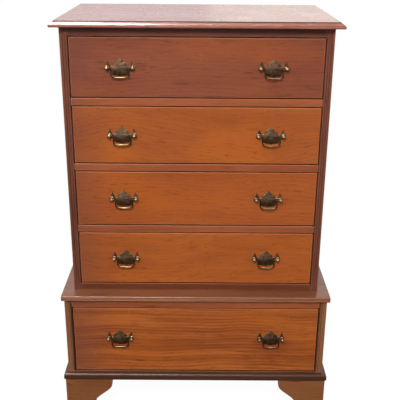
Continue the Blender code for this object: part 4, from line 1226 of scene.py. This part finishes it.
def drawer_box(number):
    """The two sides, the back with its pins, and the bottom of one drawer."""
    name = "drawer_%d" % number
    low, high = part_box(name + "_box")
    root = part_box(name + "_front")[1].y
    rear_root = high.y - BOARD
    front_tails = tail_line(root, low.y, low.z, high.z)
    rear_tails = tail_line(rear_root, high.y, low.z, high.z)[::-1]
    plan = np.concatenate(([(root, low.z)], front_tails, [(root, high.z), (rear_root, high.z)],
                           rear_tails, [(rear_root, low.z)]))
    sides = []
    for hand in (-1, 1):
        inner, outer = hand * (high.x - BOARD), hand * high.x
        path = stations(min(inner, outer), max(inner, outer), 0.0009, margin=0.0012)
        sides.append(carried(plan, 0.0006, 0, path, 0.0006))
    make_piece(name + "_sides", name, [name + "_box"], box_side_wood, sides)
    panel_low, panel_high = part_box(name + "_bottom")
    inner = high.x - BOARD - BOX_GAP
    back = [board((-inner, rear_root, panel_high.z + BOX_GAP), (inner, high.y, high.z - BACK_DROP), 0.0012)]
    for hand in (-1, 1):
        ends = sorted((hand * inner, hand * (high.x - BOX_GAP)))
        back += pin_shells(rear_root, high.y - BOX_GAP, low.z, high.z, *ends,
                           low.z + 0.0003, high.z - 0.0003)
    make_piece(name + "_back", name, [name + "_box"], box_back_wood, back)
    grid, wear = board((-inner, panel_low.y, panel_low.z), (inner, high.y - BOX_GAP, panel_high.z),
                       0.0005, 0, 16)
    grid[..., 2] -= SAG * np.cos(np.clip(grid[..., 0] / inner, -1, 1) * pi / 2)
    make_piece(name + "_bottom_ply", name, [name + "_bottom"], ply_wood, [(grid, wear)])
    return [round(1000 * v) for v in high - low]


for number in FRONT_TONES:
    print("drawer", number, "box", drawer_box(number), "mm")

# %% [markdown]
# ## Pulls
#
# Each pull is a shaped back plate, two posts with round heads, and a bail that swings from them. The
# plate has a pointed crest in the middle and a horn over each post. Its outline is a chain of shallow
# scallops: a straight line between two points, pushed in or out by a parabola. Only half is drawn, and
# the other half mirrors it. The plate's edge is bevelled, and there the brass is rubbed bright.

# %% Back plates
PLATE_BEVEL = 0.00036
# Half of the plate, clockwise from the top: (x, z, how far the next stretch bulges outwards).
PLATE_POINTS = (
    (0.0000, 0.0320, -0.0004), (0.0040, 0.0250, -0.0003), (0.0084, 0.0232, -0.0003),
    (0.0102, 0.0178, 0.0003), (0.0165, 0.0158, -0.0004), (0.0205, 0.0112, 0.0003),
    (0.0212, 0.0066, -0.0004), (0.0245, 0.0040, -0.0004), (0.0284, 0.0052, -0.0003),
    (0.0308, 0.0105, -0.0003), (0.0326, 0.0165, -0.0002), (0.0366, 0.0248, -0.0002),
    (0.0388, 0.0165, -0.0003), (0.0422, 0.0090, -0.0003), (0.0462, 0.0040, -0.0004),
    (0.0448, 0.0000, -0.0005), (0.0455, -0.0048, 0.0010), (0.0400, -0.0085, 0.0005),
    (0.0335, -0.0078, -0.0005), (0.0278, -0.0062, -0.0004), (0.0246, -0.0108, 0.0005),
    (0.0236, -0.0190, 0.0010), (0.0150, -0.0228, -0.0003), (0.0065, -0.0234, -0.0003),
    (0.0000, -0.0262, 0.0),
)


def scalloped(points, steps=5):
    """Stretches between points, each bulged by b: at a share s it moves 4 * b * s * (1 - s) outwards."""
    made = np.array(points, float)
    start, end = made[:-1, None, :2], made[1:, None, :2]
    share = np.linspace(0.0, 1.0, steps, endpoint=False)[None, :, None]
    line = end - start
    outward = np.stack((-line[..., 1], line[..., 0]), 2)
    outward = outward / np.linalg.norm(outward, axis=2, keepdims=True)
    curve = start + line * share + outward * 4 * made[:-1, None, 2:] * share * (1 - share)
    return np.concatenate((curve.reshape(-1, 2), made[-1:, :2]))


half_plate = scalloped(PLATE_POINTS)
PLATE_OUTLINE = np.concatenate((half_plate, half_plate[-2:0:-1] * (-1, 1)))[::-1]


def plate_shell(x, face_y, z):
    """A plate on a drawer's face: flat at the back, bevelled to a slightly crowned front."""
    thickness, gap = 0.0015, 0.0003
    rows = []
    steps = ((0.0, 0.0, 0.0), (0.6, 0.0, 0.5), (0.87, 0.3, 1.0), (1.0, 1.0, 0.25))
    for rise, drawn, _ in steps:
        ring = drawn_in(PLATE_OUTLINE, drawn * PLATE_BEVEL)
        rows.append(lift(ring + (x, z), face_y - gap - rise * thickness, 1))
    wear = np.repeat(np.array([w for _, _, w in steps])[:, None], len(PLATE_OUTLINE), 1)
    return np.stack(rows), wear


print("plate outline of", len(PLATE_OUTLINE), "points,", round(2000 * PLATE_OUTLINE[:, 0].max()), "mm wide")

# %% [markdown]
# A post is turned: a profile of radius against depth, spun about the bolt's axis. Outside the front it
# is a collar, a waist and a ball; inside the drawer a six-sided nut is turned on the same axis, and no
# bolt is drawn between them. The bail is a tube: a circle carried along a path that lies in one plane, so
# one direction across the tube is always the drawer's depth.

# %% Posts, nuts and bails
BOLT_X = 0.038
BALL = 0.0056
STANDOFF = 0.0125
BAIL_INSET = 0.0062
BAIL_DROP = 0.0278
BAIL_SHOULDER = 0.0060
BAIL_CORNER = 0.0100
BAIL_RADIUS = 0.0021
BAIL_SWELL = 0.0009
AROUND = 24


def turned(profile, x, y, z, sides=AROUND):
    """A profile of (radius, distance along Y, wear) spun about a line along Y through (x, z)."""
    made = np.array(profile, float)
    angle = np.linspace(0.0, 2 * pi, sides, endpoint=False)[None, :]
    radius, along = made[:, :1], made[:, 1:2]
    grid = np.stack((x + radius * np.cos(angle), np.broadcast_to(y + along, (len(made), sides)),
                     z + radius * np.sin(angle)), 2)
    return grid, np.broadcast_to(made[:, 2:], grid.shape[:2])


def post_profile():
    """A post outside its plate: collar, cove, and a ball whose front is rubbed bright."""
    plate = -0.0018
    collar = [(0.0040, plate + 0.0006, -0.5), (0.0058, plate + 0.0006, 0.0), (0.0060, plate - 0.0006, 0.9),
              (0.0054, plate - 0.0013, 0.6), (0.0040, plate - 0.0018, 0.0), (0.0032, plate - 0.0030, -0.6),
              (0.0031, plate - 0.0042, -0.4)]
    angle = np.linspace(0.20 * pi, 0.985 * pi, 13)
    ball = np.stack((BALL * np.sin(angle), -STANDOFF + BALL * np.cos(angle),
                     np.clip(-np.cos(angle) * 1.1 - 0.15, 0, 1)), 1)
    return collar + [tuple(row) for row in ball]


def bail_path():
    """The bail's centre line from pintle to pintle, as (x, z, radius), in its own plane."""
    eye = BOLT_X - BALL
    half = eye - BAIL_INSET
    arc = np.linspace(0.0, pi / 2, 9)
    pintle = np.stack((np.linspace(eye + 0.0034, eye - 0.0016, 5), np.zeros(5), np.full(5, 0.0014)), 1)
    collar = np.array([(eye - 0.0020, 0.0, 0.0021), (eye - 0.0026, 0.0, 0.0026),
                       (eye - 0.0032, 0.0, 0.0022)])
    start = eye - 0.0034
    plain = np.full(len(arc), BAIL_RADIUS)
    shoulder = np.stack((half + (start - half) * (1 - np.sin(arc)), -BAIL_SHOULDER * (1 - np.cos(arc)),
                         plain), 1)[1:]
    corner = np.stack((half - BAIL_CORNER * (1 - np.cos(arc)),
                       -BAIL_DROP + BAIL_CORNER - BAIL_CORNER * 0.92 * np.sin(arc), plain), 1)
    run = np.linspace(half - BAIL_CORNER, 0.0, 10)[1:]
    sweep = 1 - run / (half - BAIL_CORNER)
    bar = np.stack((run, -BAIL_DROP + BAIL_CORNER * 0.08 * (1 - sweep) ** 2,
                    BAIL_RADIUS + BAIL_SWELL * sweep ** 2 * (3 - 2 * sweep)), 1)
    right = np.concatenate((pintle, collar, shoulder, corner, bar))
    return np.concatenate((right, right[-2::-1] * (-1, 1, 1)))


def bail_shell(x, y, z, sides=16):
    """The bail's tube: at each point a circle in the plane of Y and the path's own normal."""
    path = bail_path()
    along = np.gradient(path[:, :2], axis=0)
    along = along / np.linalg.norm(along, axis=1, keepdims=True)
    angle = np.linspace(0.0, 2 * pi, sides, endpoint=False)
    radius = path[:, 2:]
    side_x = path[:, :1] - along[:, 1:] * radius * np.cos(angle)
    side_z = path[:, 1:2] + along[:, :1] * radius * np.cos(angle)
    grid = np.stack((x + side_x, y + radius * np.sin(angle), z + side_z), 2)
    handled = np.clip(-path[:, 1] / BAIL_DROP, 0, 1) ** 2
    worn = 0.05 + 0.58 * handled[:, None] ** 4 * (0.75 - 0.25 * np.sin(angle)[None, :])
    return grid, worn


aged_brass = antique_brass("aged_brass_plate", 1.0, tint(112, 86, 66), tint(182, 148, 106), 0.46)
rubbed_brass = antique_brass("aged_brass_bail", 2.0, tint(84, 64, 48), tint(182, 148, 102), 0.36)
post_rows = post_profile()
nut_rows = [(0.0001, 0.0236, 0.0), (0.0021, 0.0236, 0.4), (0.0021, 0.0233, 0.6), (0.0050, 0.0233, 0.5),
            (0.0055, 0.0228, 0.9), (0.0055, 0.0208, 0.6), (0.0050, 0.0203, 0.0), (0.0001, 0.0203, 0.0)]
joints = {joint["name"]: joint for joint in frame["joints"]}
for number in FRONT_TONES:
    for side in ("left", "right"):
        name = "drawer_%d_bail_%s" % (number, side)
        plate = "drawer_%d_plate_%s" % (number, side)
        x, y, z = joints[name + "_swing"]["pos_m"]
        face = y + STANDOFF
        shells = [plate_shell(x, face, z)]
        for hand in (-1, 1):
            shells.append(turned(post_rows, x + hand * BOLT_X, face, z))
            shells.append(turned(nut_rows, x + hand * BOLT_X, face, z, 6))
        make_piece(plate + "_and_posts", "drawer_%d" % number, [plate], aged_brass,
                   shells, 38.0)
        make_piece(name + "_handle", name, [name], rubbed_brass, [bail_shell(x, y, z)], 50.0)
print("ten pulls; each bail is", round(2000 * (BOLT_X - BALL - BAIL_INSET), 1), "mm wide")
